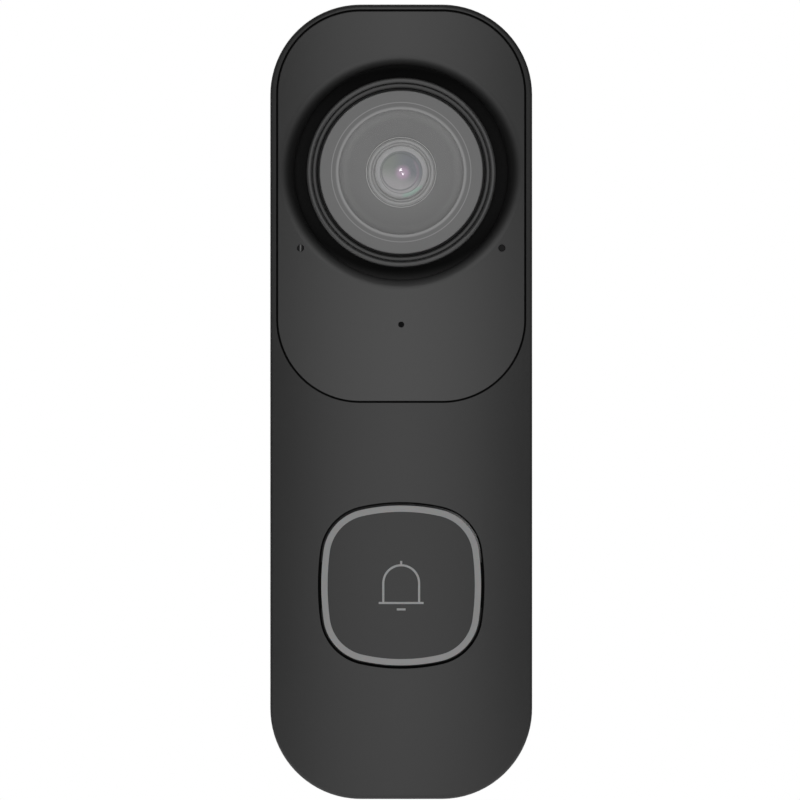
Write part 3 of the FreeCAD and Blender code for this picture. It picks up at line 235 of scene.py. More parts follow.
# %% A material that makes its own nodes
class Finish(Web):
    """One Principled material, and the nodes that vary it over the surface."""

    def __init__(self, name, **constants):
        self.material = bpy.data.materials.new(name)
        self.material.use_nodes = True
        super().__init__(self.material.node_tree)
        self.surface = self.tree.nodes["Principled BSDF"]
        self.set(**constants)

    def set(self, **values):
        """Set or link sockets of the surface, named with underscores for spaces."""
        for name, value in values.items():
            self.feed(self.surface.inputs[name.replace("_", " ")], value)

    def place(self):
        return self.node("TexCoord", {}, {}, "Object")

    def along(self, axis):
        """The place along X, Y or Z, in millimetres."""
        return self.node("SeparateXYZ", {}, {0: self.place()}, axis) * 1000

    def depth(self):
        """Distance out from the wall, in millimetres."""
        return self.along("Y") * -1

    def radius(self, centre_x, centre_z, squeeze=1.0):
        """Distance from an axis that runs front to back, in millimetres, or an oval's if x is squeezed."""
        across = (self.along("X") - centre_x) * squeeze
        return (across ** 2 + (self.along("Z") - centre_z) ** 2) ** 0.5

    def outside(self, half_x, half_z, centre_z, corner):
        """Distance from a rounded rectangle seen from the front, in millimetres: negative inside it."""
        over_x = (abs(self.along("X")) - (half_x - corner)).above(0)
        over_z = (abs(self.along("Z") - centre_z) - (half_z - corner)).above(0)
        return (over_x ** 2 + over_z ** 2) ** 0.5 - corner

    def noise(self, scale, detail=2.0):
        return self.node("TexNoise", {}, {"Vector": self.place(), "Scale": scale, "Detail": detail})

    def fade(self, value, start, end, low=0.0, high=1.0):
        """Go smoothly from low to high while the value goes from start to end."""
        limits = {0: value, 1: start, 2: end, 3: low, 4: high}
        return self.node("MapRange", {"interpolation_type": "SMOOTHSTEP"}, limits)

    def blend(self, factor, first, second):
        """Mix two colours."""
        return self.node("Mix", {"data_type": "RGBA"}, {0: factor, 6: first, 7: second}, 2)

    def bump(self, height, strength, reach):
        relief = {"Height": height, "Strength": strength, "Distance": reach * MM}
        self.set(Normal=self.node("Bump", {}, relief))


print("a finish can:", ", ".join(name for name in vars(Finish) if not name.startswith("_")))

# %% Greys, and giving a finish to parts
def grey(level, warmth=0.0):
    return (level * (1 + warmth), level, level * (1 - warmth), 1)


def finish_parts(finish, *names):
    """Give a finish to parts that keep their packed mesh."""
    for name in names:
        slots = nodes[name].data.materials
        slots.clear()
        slots.append(finish.material)
    print(finish.material.name, "on", ", ".join(names))


BLACK = grey(0.004)
print("black:", BLACK)

# %% [markdown]
# ## Moulded plastic
#
# The shells are moulded in near-black plastic from spark-eroded moulds. That leaves a fine even grain, too
# small to see as dots, which breaks highlights into a soft sheen. Paint would do for a flat picture, but a
# bump from fine noise keeps the sheen right from every side. A second, much wider noise makes tone and gloss
# slightly uneven, as they are on any real moulding.

# %% Where the camera panel's edge is
PANEL_CORNER = 14.5
SEAM_WIDTH = 0.32
panel_low, panel_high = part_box("camera_panel")
PANEL_HALF_HEIGHT = (panel_high.z - panel_low.z) / 2 / MM
PANEL_Z = (panel_high.z + panel_low.z) / 2 / MM
PANEL_EDGE = (panel_high.x / MM, PANEL_HALF_HEIGHT, PANEL_Z, PANEL_CORNER)
print("panel:", [round(size, 2) for size in PANEL_EDGE])

# %% Grained plastic
GRAIN = 5200
WAVES = 60
SOFT_EDGE = 0.02


def painted_seam_shade(finish):
    """How much black painted shade lies on the housing: all of it inside the panel's recess, on the seam's
    walls.
    """
    return finish.fade(finish.outside(*PANEL_EDGE), SEAM_WIDTH + SOFT_EDGE, SEAM_WIDTH)


def grained_plastic(name, level, roughness=0.4, grain=0.1, shade_paint=None):
    """A moulded plastic, with black painted shade wherever the given shade function puts it."""
    finish = Finish(name, IOR=1.5)
    fine = finish.noise(GRAIN, detail=3)
    wide = finish.noise(WAVES)
    tone = finish.blend(wide, grey(level * 0.93), grey(level * 1.07))
    matt = roughness + 0.06 * (wide - 0.5) + 0.1 * (fine - 0.5)
    # black painted shade, where the shade function asks for it
    if shade_paint:
        painted_shade = shade_paint(finish)
        tone = finish.blend(painted_shade, tone, BLACK)
        matt = matt + 0.4 * painted_shade
    finish.set(Base_Color=tone)
    finish.set(Roughness=matt)
    finish.bump(fine, grain, 0.03)
    return finish


# the housing carries black painted shade on the walls of the camera panel's seam
housing_plastic = grained_plastic("housing_plastic", 0.04, shade_paint=painted_seam_shade)
cap_plastic = grained_plastic("cap_plastic", 0.043, roughness=0.46)
back_plastic = grained_plastic("back_plastic", 0.04, roughness=0.5, grain=0.25)
finish_parts(housing_plastic, "front_housing")
finish_parts(cap_plastic, "button_cap")
finish_parts(back_plastic, "rear_cover", "wall_bracket", "reset_button")

# %% [markdown]
# ## Camera panel and bezel
#
# The moat round the camera is painted matt black, as painted shade, so that it stays as dark as a deep
# shadow. The painted shade fades out over the moat's rounded rim. A painted ring needs no new mesh: the
# distance from the camera's axis says how much black lies over the plastic. The bezel's flange lies in the
# same painted shade, and so do the walls of the seam between panel and housing, which keeps that seam a fine
# dark line.

# %% Where the camera's axis is
def round_part(node):
    """A round part's outer radius, and the depths of its back and its front, in millimetres."""
    low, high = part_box(node)
    return high.x / MM, -high.y / MM, -low.y / MM


window_low, window_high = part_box("lens_window")
AXIS_Z = (window_low.z + window_high.z) / 2 / MM
WINDOW_RADIUS, WINDOW_BACK, WINDOW_FRONT = round_part("lens_window")
print("camera axis at", round(AXIS_Z, 2), "mm, window radius", round(WINDOW_RADIUS, 2))

# %% Plastic under painted shade
MOAT_RADIUS = 18.9
BEZEL_RADIUS = 16.63
PAINTED_LIGHT_START = 10
PAINTED_LIGHT_END = 66


def shade_painted_plastic(name, bottom, top, roughness, bare_from, bare_to, lift=0.0, squeeze=1.0):
    """Grained plastic under black painted shade that fades away between two distances from the camera."""
    finish = Finish(name, IOR=1.5)
    fine = finish.noise(GRAIN, detail=3)
    wide = finish.noise(WAVES)
    # black painted shade over the moat and its rim, fading out in an oval round the camera
    bare = finish.fade(finish.radius(0, AXIS_Z + lift, squeeze), bare_from, bare_to)
    # and black painted shade at the panel's own edge, in the seam
    bare = bare * finish.fade(finish.outside(*PANEL_EDGE), -0.02, -0.05)
    # painted light and shade: paler towards the bottom of the panel, darker towards its top
    height = finish.along("Z") + 8 * (wide - 0.5)
    tone = finish.blend(finish.fade(height, PAINTED_LIGHT_START, PAINTED_LIGHT_END), grey(bottom), grey(top))
    finish.set(Base_Color=finish.blend(bare, BLACK, tone))
    finish.set(Roughness=0.95 - (0.95 - roughness) * bare + 0.1 * (fine - 0.5) * bare)
    finish.bump(fine, 0.1, 0.03)
    return finish


panel_plastic = shade_painted_plastic("panel_plastic", 0.07, 0.055, 0.4, MOAT_RADIUS - 1.3, MOAT_RADIUS + 1.2,
                               lift=0.42, squeeze=0.9)
bezel_plastic = shade_painted_plastic("bezel_plastic", 0.067, 0.067, 0.34, BEZEL_RADIUS + 0.15, BEZEL_RADIUS + 0.05)
finish_parts(panel_plastic, "camera_panel")
finish_parts(bezel_plastic, "lens_bezel")

# %% [markdown]
# ## Button ring and bell
#
# The ring round the button and the bell in its middle are the same milky plastic, moulded as light guides.
# Unlit they are a plain mid grey. A little light gets under the surface of such plastic, so it has some
# subsurface scatter, and faint clouds where the moulding is thicker.

# %% Milky plastic
def milky_plastic(name, level):
    finish = Finish(name, IOR=1.49, Subsurface_Weight=0.15, Subsurface_Scale=0.4 * MM)
    cloud = finish.noise(240, detail=3)
    finish.set(Base_Color=finish.blend(cloud, grey(level * 0.96), grey(level * 1.04)))
    finish.set(Roughness=0.5 + 0.1 * (cloud - 0.5))
    finish.bump(finish.noise(4200), 0.05, 0.02)
    return finish


finish_parts(milky_plastic("ring_plastic", 0.42), "button_light_ring")
finish_parts(milky_plastic("bell_plastic", 0.46), "bell_icon")

# %% [markdown]
# ## Button carrier
#
# The carrier is milky like the ring, so that it spreads the lamps' light. Its two catches are painted black
# as painted shade, so that they stay dark in the gap round the button and don't show as pale steps there.

# %% Carrier with catches in painted shade
CATCH_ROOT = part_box("button_light_ring")[1].x / MM - 0.4


def caught_plastic(name):
    """Milky plastic, with black painted shade past the place where the catches start."""
    finish = Finish(name, IOR=1.49)
    cloud = finish.noise(240, detail=3)
    catch_shade = finish.fade(abs(finish.along("X")), CATCH_ROOT - 0.1, CATCH_ROOT)
    milk = finish.blend(cloud, grey(0.5), grey(0.6))
    finish.set(Base_Color=finish.blend(catch_shade, milk, BLACK))
    finish.set(Roughness=0.5 + 0.3 * catch_shade)
    return finish


finish_parts(caught_plastic("carrier_plastic"), "button_carrier")

# %% [markdown]
# ## Turning round pieces
#
# Everything round in the camera is a turned or turned-looking part. A lathe needs only half an outline, and
# so does Blender: the outline is laid down as a few points, its corners are eased with a vertex bevel, and
# one spin about the camera's axis makes the solid. This keeps true circles at any size, which a subdivided
# cage would not.

# %% A finished piece
SHARP = math.radians(38)
TINY = 0.001 * MM


def add_piece(name, finish, mesh, body):
    """Turn a finished bmesh into a smooth-shaded piece that rides on a body."""
    for face in mesh.faces:
        face.smooth = True
    for edge in mesh.edges:
        edge.smooth = edge.calc_face_angle(0) < SHARP
    data = bpy.data.meshes.new(name)
    mesh.to_mesh(data)
    mesh.free()
    data.materials.append(finish.material)
    piece = bpy.data.objects.new(name, data)
    bpy.context.scene.collection.objects.link(piece)
    normals = piece.modifiers.new("even shading", "WEIGHTED_NORMAL")
    normals.keep_sharp = True
    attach(piece, body)
    print(name, len(data.polygons), "faces")
    return piece


print("edges stay sharp above", round(math.degrees(SHARP)), "degrees")

# %% A lathe
LATHE_STEPS = 128


def turned(name, finish, outline, ease=0.08, ring=True, steps=LATHE_STEPS):
    """Spin an outline of (radius, depth) points, in millimetres, about the camera's axis."""
    mesh = bmesh.new()
    points = [mesh.verts.new((radius * MM, -depth * MM, AXIS_Z * MM)) for radius, depth in outline]
    pairs = list(zip(points, points[1:]))
    if ring:
        pairs.append((points[-1], points[0]))
    for pair in pairs:
        mesh.edges.new(pair)
    corners = points if ring else points[1:-1]
    bmesh.ops.bevel(mesh, geom=corners, offset=ease * MM, affect="VERTICES", segments=3, profile=0.5,
                    material=-1, clamp_overlap=True)
    bmesh.ops.spin(mesh, geom=mesh.verts[:] + mesh.edges[:], cent=(0, 0, AXIS_Z * MM), axis=(0, 1, 0),
                   angle=math.tau, steps=steps, use_merge=True)
    bmesh.ops.remove_doubles(mesh, verts=mesh.verts, dist=TINY)
    bmesh.ops.recalc_face_normals(mesh, faces=mesh.faces)
    return add_piece(name, finish, mesh, "unit")


print("one lathe step turns", 360 / LATHE_STEPS, "degrees")

# %% [markdown]
# ## Retaining ring and gasket
#
# The window is held by a satin ring pressed into the bezel, over a soft black gasket whose lip closes on the
# glass. Both are thin, and what shows of them is mostly their eased edges and the dark lines between them, so
# each edge gets a real radius.

# %% Rubber
def rubber(name):
    finish = Finish(name, IOR=1.52)
    bloom = finish.noise(700, detail=4)
    finish.set(Base_Color=finish.blend(bloom, BLACK, grey(0.009)))
    finish.set(Roughness=0.72 + 0.14 * (bloom - 0.5))
    finish.bump(bloom, 0.15, 0.03)
    return finish


black_rubber = rubber("black_rubber")
finish_parts(black_rubber, "case_gasket", "bezel_seal", "microphone_boot", "button_light_seal",
             "speaker_seal")

# %% Retaining ring
RING_WIDTH = 0.73
satin_plastic = grained_plastic("satin_plastic", 0.035, roughness=0.34, grain=0.05)
ring_outer, ring_back, ring_front = round_part("window_retaining_ring")
ring_inner = ring_outer - RING_WIDTH
ring_outline = [(ring_outer, ring_back), (ring_outer, ring_front - 0.06), (ring_outer - 0.12, ring_front),
                (ring_inner + 0.2, ring_front), (ring_inner, ring_front - 0.25), (ring_inner, ring_back)]
retaining_ring = turned("retaining_ring", satin_plastic, ring_outline, ease=0.06)
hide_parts("window_retaining_ring")

# %% Gasket
gasket_outer, gasket_back, gasket_front = round_part("window_gasket")
LIP_RADIUS = WINDOW_RADIUS + 0.03
SEAT_RADIUS = WINDOW_RADIUS - 1
gasket_outline = [(gasket_outer, gasket_back), (gasket_outer, gasket_front - 0.3),
                  (gasket_outer - 0.1, gasket_front), (LIP_RADIUS, gasket_front - 0.1),
                  (LIP_RADIUS, WINDOW_BACK), (SEAT_RADIUS, WINDOW_BACK), (SEAT_RADIUS, gasket_back)]
window_gasket = turned("window_gasket_lip", black_rubber, gasket_outline, ease=0.04)
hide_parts("window_gasket")

# %% [markdown]
# ## Window
#
# The window is a round pane of glass. Its border is printed grey on the front, so that it hides the gasket's
# seat, with two fine pale lines in the print that are painted highlights, where lips would catch the light,
# and its middle is clear. Real refraction would cost many samples and show little here, so the clear middle
# is a thin veil instead: see-through when looked at straight, and more like a mirror at a slant, which the
# fifth power of the slant gives closely. A Fresnel node would turn the far face black at a steep slant.

# %% Window glass
VEIL = 0.07
PRINT_ALPHA = 0.99
PRINT_EDGE = WINDOW_RADIUS - 3.4
# pale painted highlight lines in the print
PAINTED_HIGHLIGHT_LINES = ((WINDOW_RADIUS - 3.17, 0.44, 0.27), (WINDOW_RADIUS - 2.14, 0.14, 0.2))


def printed_glass(name):
    """Clear glass with a grey printed border, and pale painted highlights in it where lips would catch the
    light. Each highlight line has a radius, half a width and a strength.
    """
    finish = Finish(name, IOR=1.5)
    haze = finish.noise(140)
    radius = finish.radius(0, AXIS_Z)
    printed = finish.fade(radius, PRINT_EDGE - SOFT_EDGE, PRINT_EDGE + SOFT_EDGE)
    # pale painted highlights, standing in for lips that catch the light
    highlight_lines = sum(level * finish.fade(abs(radius - place), half, 0.02) for place, half, level in PAINTED_HIGHLIGHT_LINES)
    slant = finish.node("LayerWeight", {}, {"Blend": 0.5}, "Facing")
    clear = VEIL + (1 - VEIL) * slant ** 5
    finish.set(Base_Color=finish.blend(highlight_lines, finish.blend(haze, grey(0.205), grey(0.215)), WHITE))
    finish.set(Alpha=clear + (PRINT_ALPHA - clear) * printed)
    finish.set(Roughness=0.02 + 0.02 * haze)
    return finish


# %% Window
CHAMFER = 0.15
window_inner = WINDOW_RADIUS - CHAMFER
window_outline = [(0, WINDOW_BACK), (window_inner, WINDOW_BACK), (WINDOW_RADIUS, WINDOW_BACK + CHAMFER),
                  (WINDOW_RADIUS, WINDOW_FRONT - CHAMFER), (window_inner, WINDOW_FRONT), (0, WINDOW_FRONT)]
lens_window = turned("window_glass", printed_glass("printed_glass"), window_outline,
                     ease=0.03, ring=False)
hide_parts("lens_window")

# %% [markdown]
# ## Surround and barrel
#
# Behind the window lies a pale grey dish with a fine lip round its bore, and the lens barrel stands in the
# bore. The dish is painted paler towards the window's border, as painted light against the border's shade.
# The lip is a real ridge a fifth of a millimetre wide, polished on its crest, and its crest is painted pale
# as a painted highlight. The barrel is turned from metal in small steps, which a lathe outline gives
# directly, with painted light on its crests and painted shade in its steps.

# %% Surround
NECK_RADIUS = 13.0
BORE = 6.0
surround_outer, SURROUND_BACK, surround_lip = round_part("lens_surround")
SURROUND_FRONT = surround_lip - 0.3
SEAT_DEPTH = SURROUND_BACK + 1.0


def lip(radius, width, height):
    """A ridge's outline, from its outer foot to its inner foot."""
    crest = SURROUND_FRONT + height
    return [(radius + width / 2, SURROUND_FRONT), (radius + width * 0.3, crest),
            (radius - width * 0.3, crest), (radius - width / 2, SURROUND_FRONT)]


def dish_plastic(name):
    """Satin grey moulding, painted paler towards the window's border as painted light, with a polished lip
    whose pale crest is a painted highlight.
    """
    finish = Finish(name, IOR=1.5)
    fine = finish.noise(3600, detail=3)
    # the lip's crest: polished, and painted pale as a painted highlight
    crest = finish.fade(finish.depth(), SURROUND_FRONT + 0.04, SURROUND_FRONT + 0.18)
    # painted light: paler towards the window's border, against the border's shade
    outer = finish.fade(finish.radius(0, AXIS_Z), 9, PRINT_EDGE)
    finish.set(Base_Color=finish.blend(crest, finish.blend(outer, grey(0.34), grey(0.52)), grey(0.78)))
    finish.set(Metallic=0.3 * crest)
    finish.set(Roughness=0.5 - 0.1 * crest + 0.1 * (fine - 0.5))
    finish.bump(fine, 0.03, 0.02)
    return finish


surround_outline = [(surround_outer, SURROUND_BACK), (surround_outer, SEAT_DEPTH), (NECK_RADIUS, SEAT_DEPTH),
                    (NECK_RADIUS, SURROUND_FRONT)]
surround_outline += lip(BORE + 0.13, width=0.2, height=0.2)
surround_outline += [(BORE, SURROUND_FRONT), (BORE, SURROUND_BACK)]
lens_surround = turned("surround_dish", dish_plastic("dish_plastic"), surround_outline,
                       ease=0.02)
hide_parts("lens_surround")

# %% Barrel
LENS_RADIUS, LENS_BACK, LENS_FRONT = round_part("front_lens")
BARREL_RADIUS, BARREL_BACK, BARREL_FRONT = round_part("lens_barrel")
BARREL_NECK = 5.97
NECK_DEPTH = SURROUND_BACK - 0.1
GROOVE_DEPTH = BARREL_FRONT - 0.25
STEP_DEPTH = BARREL_FRONT - 0.1
LENS_SEAT = BARREL_FRONT - 0.4
LENS_HOLE = LENS_RADIUS + 0.02
APERTURE = 3.57
LEAN = 0.04


def barrel_ring(outer, inner, top, foot):
    """A flat ring's outline with sides that lean a little, from the groove outside it to its inner foot."""
    return [(outer, GROOVE_DEPTH), (outer - LEAN, top), (inner + LEAN, top), (inner, foot)]


barrel_outline = [(BARREL_RADIUS, BARREL_BACK), (BARREL_RADIUS, NECK_DEPTH), (BARREL_NECK, NECK_DEPTH),
                  (BARREL_NECK, GROOVE_DEPTH)]
barrel_outline += barrel_ring(5.78, 5.26, top=BARREL_FRONT, foot=GROOVE_DEPTH)
barrel_outline += barrel_ring(5.14, 4.84, top=STEP_DEPTH, foot=LENS_SEAT)
barrel_outline += [(LENS_HOLE, LENS_SEAT), (LENS_HOLE, LENS_BACK), (APERTURE, LENS_BACK),
                   (APERTURE, BARREL_BACK)]
print("barrel outline:", len(barrel_outline), "points")

# %% Anodised metal
TOOL_PITCH = 0.06


def anodised_metal(name, trough, crest):
    """Turned and anodised aluminium: crests painted paler and steps painted darker, as painted light and
    shade, and the tool's fine marks.
    """
    finish = Finish(name, Metallic=0.4)
    marks = abs((finish.radius(0, AXIS_Z) % TOOL_PITCH) - TOOL_PITCH / 2) / (TOOL_PITCH / 2)
    # painted light and shade: paler on the front crests, darker in the deeper steps
    height = finish.fade(finish.depth(), BARREL_FRONT - 0.45, BARREL_FRONT - 0.15)
    finish.set(Base_Color=finish.blend(height, grey(trough), grey(crest)))
    finish.set(Roughness=0.34 + 0.06 * finish.noise(90))
    finish.bump(marks, 0.15, 0.01)
    return finish


lens_barrel = turned("barrel_rings", anodised_metal("anodised_metal", 0.36, 0.46),
                     barrel_outline, ease=0.02)
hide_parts("lens_barrel")

# %% [markdown]
# ## Lenses
#
# The front glass is what shows: a low dome whose rim is ground to a pale bevel. It is coated, and its colours
# are painted reflections and painted shade that give the camera its depth: cool grey and darker at the top,
# pale below, a green reflection along part of the bevel, and a lavender glow round the middle, painted where
# the glass behind it would shine through. The colours are laid on by distance and direction from the axis,
# under a glossy high-index surface, so they stay on the glass when the unit turns.

# %% A domed outline
def dome(radius, back, front, curve, steps=20):
    """The outline of a plano-convex glass, from the middle of its back to the middle of its front."""
    swing = math.asin(radius / curve)
    angles = [swing * (1 - step / steps) for step in range(steps + 1)]
    crown = [(curve * math.sin(angle), front - curve * (1 - math.cos(angle))) for angle in angles]
    return [(0, back), (radius, back)] + crown


print("dome points:", len(dome(LENS_RADIUS, LENS_BACK, LENS_FRONT, curve=16)))

# %% Coated glass
BEVEL_RADIUS = 3.72
COOL_REFLECTION = (0.26, 0.28, 0.32, 1)
MOSS_REFLECTION = (0.34, 0.38, 0.34, 1)
PALE_REFLECTION = (0.62, 0.6, 0.62, 1)
BEVEL_GREY = (0.72, 0.72, 0.73, 1)
GREEN_REFLECTION = (0.6, 0.82, 0.72, 1)
LAVENDER_REFLECTION = (0.8, 0.56, 0.78, 1)
LINE_GREY = (0.2, 0.21, 0.22, 1)


def coated_glass(name):
    """A coated dome: painted reflections and shade in its middle, a line round them, and a painted green
    reflection on its bevel.
    """
    finish = Finish(name, IOR=1.9, Coat_Weight=0.3)
    x = finish.along("X")
    rise = finish.along("Z") - AXIS_Z
    radius = finish.radius(0, AXIS_Z)
    # painted shade and reflection: cool and mossy above, pale below
    upper = finish.blend(finish.fade(x, -2.5, 1.5), MOSS_REFLECTION, COOL_REFLECTION)
    middle = finish.blend(finish.fade(rise + 0.25 * x, -2.6, 0.8), PALE_REFLECTION, upper)
    # a fine dark circle, a little off the axis
    circle = finish.fade(abs(finish.radius(-0.2, AXIS_Z + 0.1) - 3.25), 0.2, 0.04)
    middle = finish.blend(0.8 * circle, middle, LINE_GREY)
    # a painted lavender reflection round the middle, with a faint painted streak at the right
    painted_streak = finish.fade(abs(radius - 2.95), 0.4, 0.05) * finish.fade(x, 1.9, 2.7)
    painted_glow = finish.fade(finish.radius(0.26, AXIS_Z - 0.09), 1.7, 0.5)
    middle = finish.blend(0.25 * painted_streak + painted_glow, middle, LAVENDER_REFLECTION)
    # the bevel, with a painted green reflection at the lower right, paler towards its edge and darker at its
    # inner line
    painted_sweep = finish.fade(0.4 * x - rise, 3.5, 4.1) * finish.fade(x, -0.2, 0.8)
    rim = finish.blend(painted_sweep, BEVEL_GREY, GREEN_REFLECTION)
    rim = finish.blend(finish.fade(radius, 4.3, 4.55), rim, WHITE)
    rim = finish.blend(finish.fade(abs(radius - BEVEL_RADIUS), 0.09, 0.02), rim, LINE_GREY)
    on_bevel = finish.fade(radius, BEVEL_RADIUS - 0.09, BEVEL_RADIUS - 0.03)
    finish.set(Base_Color=finish.blend(on_bevel, middle, rim))
    finish.set(Roughness=0.06 + 0.3 * finish.fade(radius, BEVEL_RADIUS - 0.05, BEVEL_RADIUS))
    return finish


print("bevel from", BEVEL_RADIUS, "to", round(LENS_RADIUS, 2), "mm")

# %% Front and rear lens
coated = coated_glass("coated_glass")
front_outline = dome(LENS_RADIUS, LENS_BACK, LENS_FRONT, curve=16)
front_lens = turned("front_lens_glass", coated, front_outline, ease=0.01, ring=False, steps=96)
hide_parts("front_lens")
rear_outline = dome(*round_part("rear_lens"), curve=10)
rear_lens = turned("rear_lens_glass", coated, rear_outline, ease=0.01, ring=False, steps=64)
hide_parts("rear_lens")

# %% [markdown]
# ## Small windows in the panel
#
# A light sensor looks out at the left and a status light at the right, each through a smoked pin of clear
# plastic. Both look nearly black while the light is off. The sensor's pin has a pale slit down its middle,
# where the chip behind it shows.

# %% Smoked pins
pin_low, pin_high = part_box("status_light_pipe")
PIN_X = (pin_low.x + pin_high.x) / 2 / MM


def smoked_pin(name, slit):
    finish = Finish(name, IOR=1.49, Specular_IOR_Level=0.1)
    cloud = finish.noise(900)
    chip = finish.fade(abs(abs(finish.along("X")) - PIN_X), 0.16, 0.1)
    smoke = finish.blend(cloud, grey(0.006), grey(0.012))
    finish.set(Base_Color=finish.blend(slit * chip, smoke, grey(0.2)))
    finish.set(Roughness=0.25 + 0.2 * cloud)
    return finish


finish_parts(smoked_pin("sensor_pin", 1.0), "light_sensor_pipe")
finish_parts(smoked_pin("status_pin", 0.0), "status_light_pipe")

# %% [markdown]
# ## Screws
#
# The screws that can be seen are the two wire terminals in the back and the security screw under the bottom
# edge. Each is spun from an outline, with a low crowned head and rolled grooves. The cross recess is then cut
# in the flat middle of the head: straight cuts divide the face, the faces of the cross are pushed in, and
# their floor is made narrower, as a driver's tip is.

# %% Steel
def plated_steel(name, level, roughness=0.3):
    finish = Finish(name, Metallic=1.0)
    patch = finish.noise(420, detail=4)
    finish.set(Base_Color=finish.blend(patch, grey(level * 0.85), grey(level * 1.1, 0.02)))
    finish.set(Roughness=roughness + 0.16 * (patch - 0.5))
    finish.bump(finish.noise(2600), 0.06, 0.02)
    return finish


zinc_steel = plated_steel("zinc_steel", 0.5)
black_steel = plated_steel("black_steel", 0.09, roughness=0.4)
finish_parts(zinc_steel, "case_screws", "camera_screws", "button_screws")

# %% A screw's outline
THREAD_PITCH = 0.5


def screw_outline(head, head_height, shank, length):
    """Half a screw, from its tip to the flat middle of its crowned head at height 0, in millimetres."""
    crown = 0.45 * head_height
    outline = [(0, -length), (shank * 0.6, -length)]
    grooves = int((length - head_height - 0.6) / THREAD_PITCH)
    for groove in range(grooves):
        start = -length + 0.4 + groove * THREAD_PITCH
        outline += [(shank, start), (shank * 0.84, start + THREAD_PITCH / 2)]
    outline += [(shank, -head_height - 0.1), (shank, -head_height), (head, -head_height), (head, -crown)]
    outline += [(head * 0.93, -crown * 0.45), (head * 0.8, -crown * 0.1), (head * 0.68, 0), (0, 0)]
    return outline


print("screw outline:", len(screw_outline(3.2, 2, 1.5, 6)), "points")

# %% A cross recess
CROSS_TAPER = 0.72


def only_verts(items):
    return [item for item in items if isinstance(item, bmesh.types.BMVert)]


def cut_cross(mesh, arm, width, depth):
    """Sink a cross into the flat top of a head at height 0."""
    for reach in (-arm, -width, width, arm):
        for axis in ((1, 0, 0), (0, 1, 0)):
            top = [face for face in mesh.faces if abs(face.calc_center_median().z) < TINY]
            edges = {edge for face in top for edge in face.edges}
            bmesh.ops.bisect_plane(mesh, geom=top + list(edges), dist=TINY / 10,
                                   plane_co=Vector(axis) * reach, plane_no=axis)
    chosen = []
    for face in mesh.faces:
        x, y, z = face.calc_center_median()
        inside = (abs(x) < arm and abs(y) < width) or (abs(x) < width and abs(y) < arm)
        if inside and abs(z) < TINY:
            chosen.append(face)
    floor = only_verts(bmesh.ops.extrude_face_region(mesh, geom=chosen)["geom"])
    bmesh.ops.delete(mesh, geom=chosen, context="FACES")
    bmesh.ops.translate(mesh, verts=floor, vec=(0, 0, -depth))
    bmesh.ops.scale(mesh, verts=floor, vec=(CROSS_TAPER, CROSS_TAPER, 1))


print("the recess narrows to", CROSS_TAPER, "of its width")

# %% Screws in their places
def cross_screws(name, finish, node, places, along, head, head_height, shank, length):
    """Cross-headed screws, in millimetres, whose heads face along a direction from their places."""
    mesh = bmesh.new()
    outline = screw_outline(head, head_height, shank, length)
    points = [mesh.verts.new((radius * MM, 0, height * MM)) for radius, height in outline]
    for pair in zip(points, points[1:]):
        mesh.edges.new(pair)
    bmesh.ops.spin(mesh, geom=mesh.verts[:] + mesh.edges[:], cent=(0, 0, 0), axis=(0, 0, 1),
                   angle=math.tau, steps=40, use_merge=True)
    bmesh.ops.remove_doubles(mesh, verts=mesh.verts, dist=TINY)
    cut_cross(mesh, arm=head * 0.5 * MM, width=head * 0.13 * MM, depth=head_height * 0.5 * MM)
    turn = Vector(along).to_track_quat("Z", "Y").to_matrix().to_4x4()
    first = mesh.verts[:] + mesh.edges[:] + mesh.faces[:]
    for place in places[1:]:
        copied = bmesh.ops.duplicate(mesh, geom=first)["geom"]
        bmesh.ops.transform(mesh, verts=only_verts(copied), matrix=Matrix.Translation(place) @ turn)
    bmesh.ops.transform(mesh, verts=only_verts(first), matrix=Matrix.Translation(places[0]) @ turn)
    bmesh.ops.recalc_face_normals(mesh, faces=mesh.faces)
    print("open edges:", sum(not edge.is_manifold for edge in mesh.edges))
    piece = add_piece(name, finish, mesh, "unit")
    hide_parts(node)


terminal_low, terminal_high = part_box("terminal_screws")
terminal_head = (terminal_high.z - terminal_low.z) / 2 / MM
terminal_x = terminal_high.x - terminal_head * MM
terminal_z = (terminal_low.z + terminal_high.z) / 2
cross_screws("terminal_pan_screws", zinc_steel, "terminal_screws",
             places=[(side * terminal_x, terminal_high.y, terminal_z) for side in (-1, 1)],
             along=(0, 1, 0), head=terminal_head, head_height=2.0, shank=1.5,
             length=(terminal_high.y - terminal_low.y) / MM)
security_low, security_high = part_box("security_screw")
cross_screws("security_pan_screw", black_steel, "security_screw",
             places=[(0, (security_low.y + security_high.y) / 2, security_low.z)],
             along=(0, 0, -1), head=security_high.x / MM, head_height=1.3, shank=1.3,
             length=(security_high.z - security_low.z) / MM)

# %% [markdown]
# ## Boards, chips and fixings inside
#
# The parts inside are seen only through the slots and the wiring bay, or when someone takes the unit apart.
# Each still gets the finish of its real material: solder mask over copper tracks, wound copper wire, tinned
# steel, silicon, glass-filled nylon, paper and brass. All of them are worked out from the place on the
# object.

# %% Circuit boards
TRACK_PITCH = 1.27
TRACK_PLACE = 0.6
TRACK_HALF = 0.12
GREEN_MASK = (0.008, 0.03, 0.018, 1)
GREEN_TRACK = (0.03, 0.1, 0.055, 1)
TINNED_PAD = (0.75, 0.7, 0.6, 1)


def tracks(place):
    """Parallel tracks across one axis."""
    return abs((place % TRACK_PITCH) - TRACK_PLACE) < TRACK_HALF


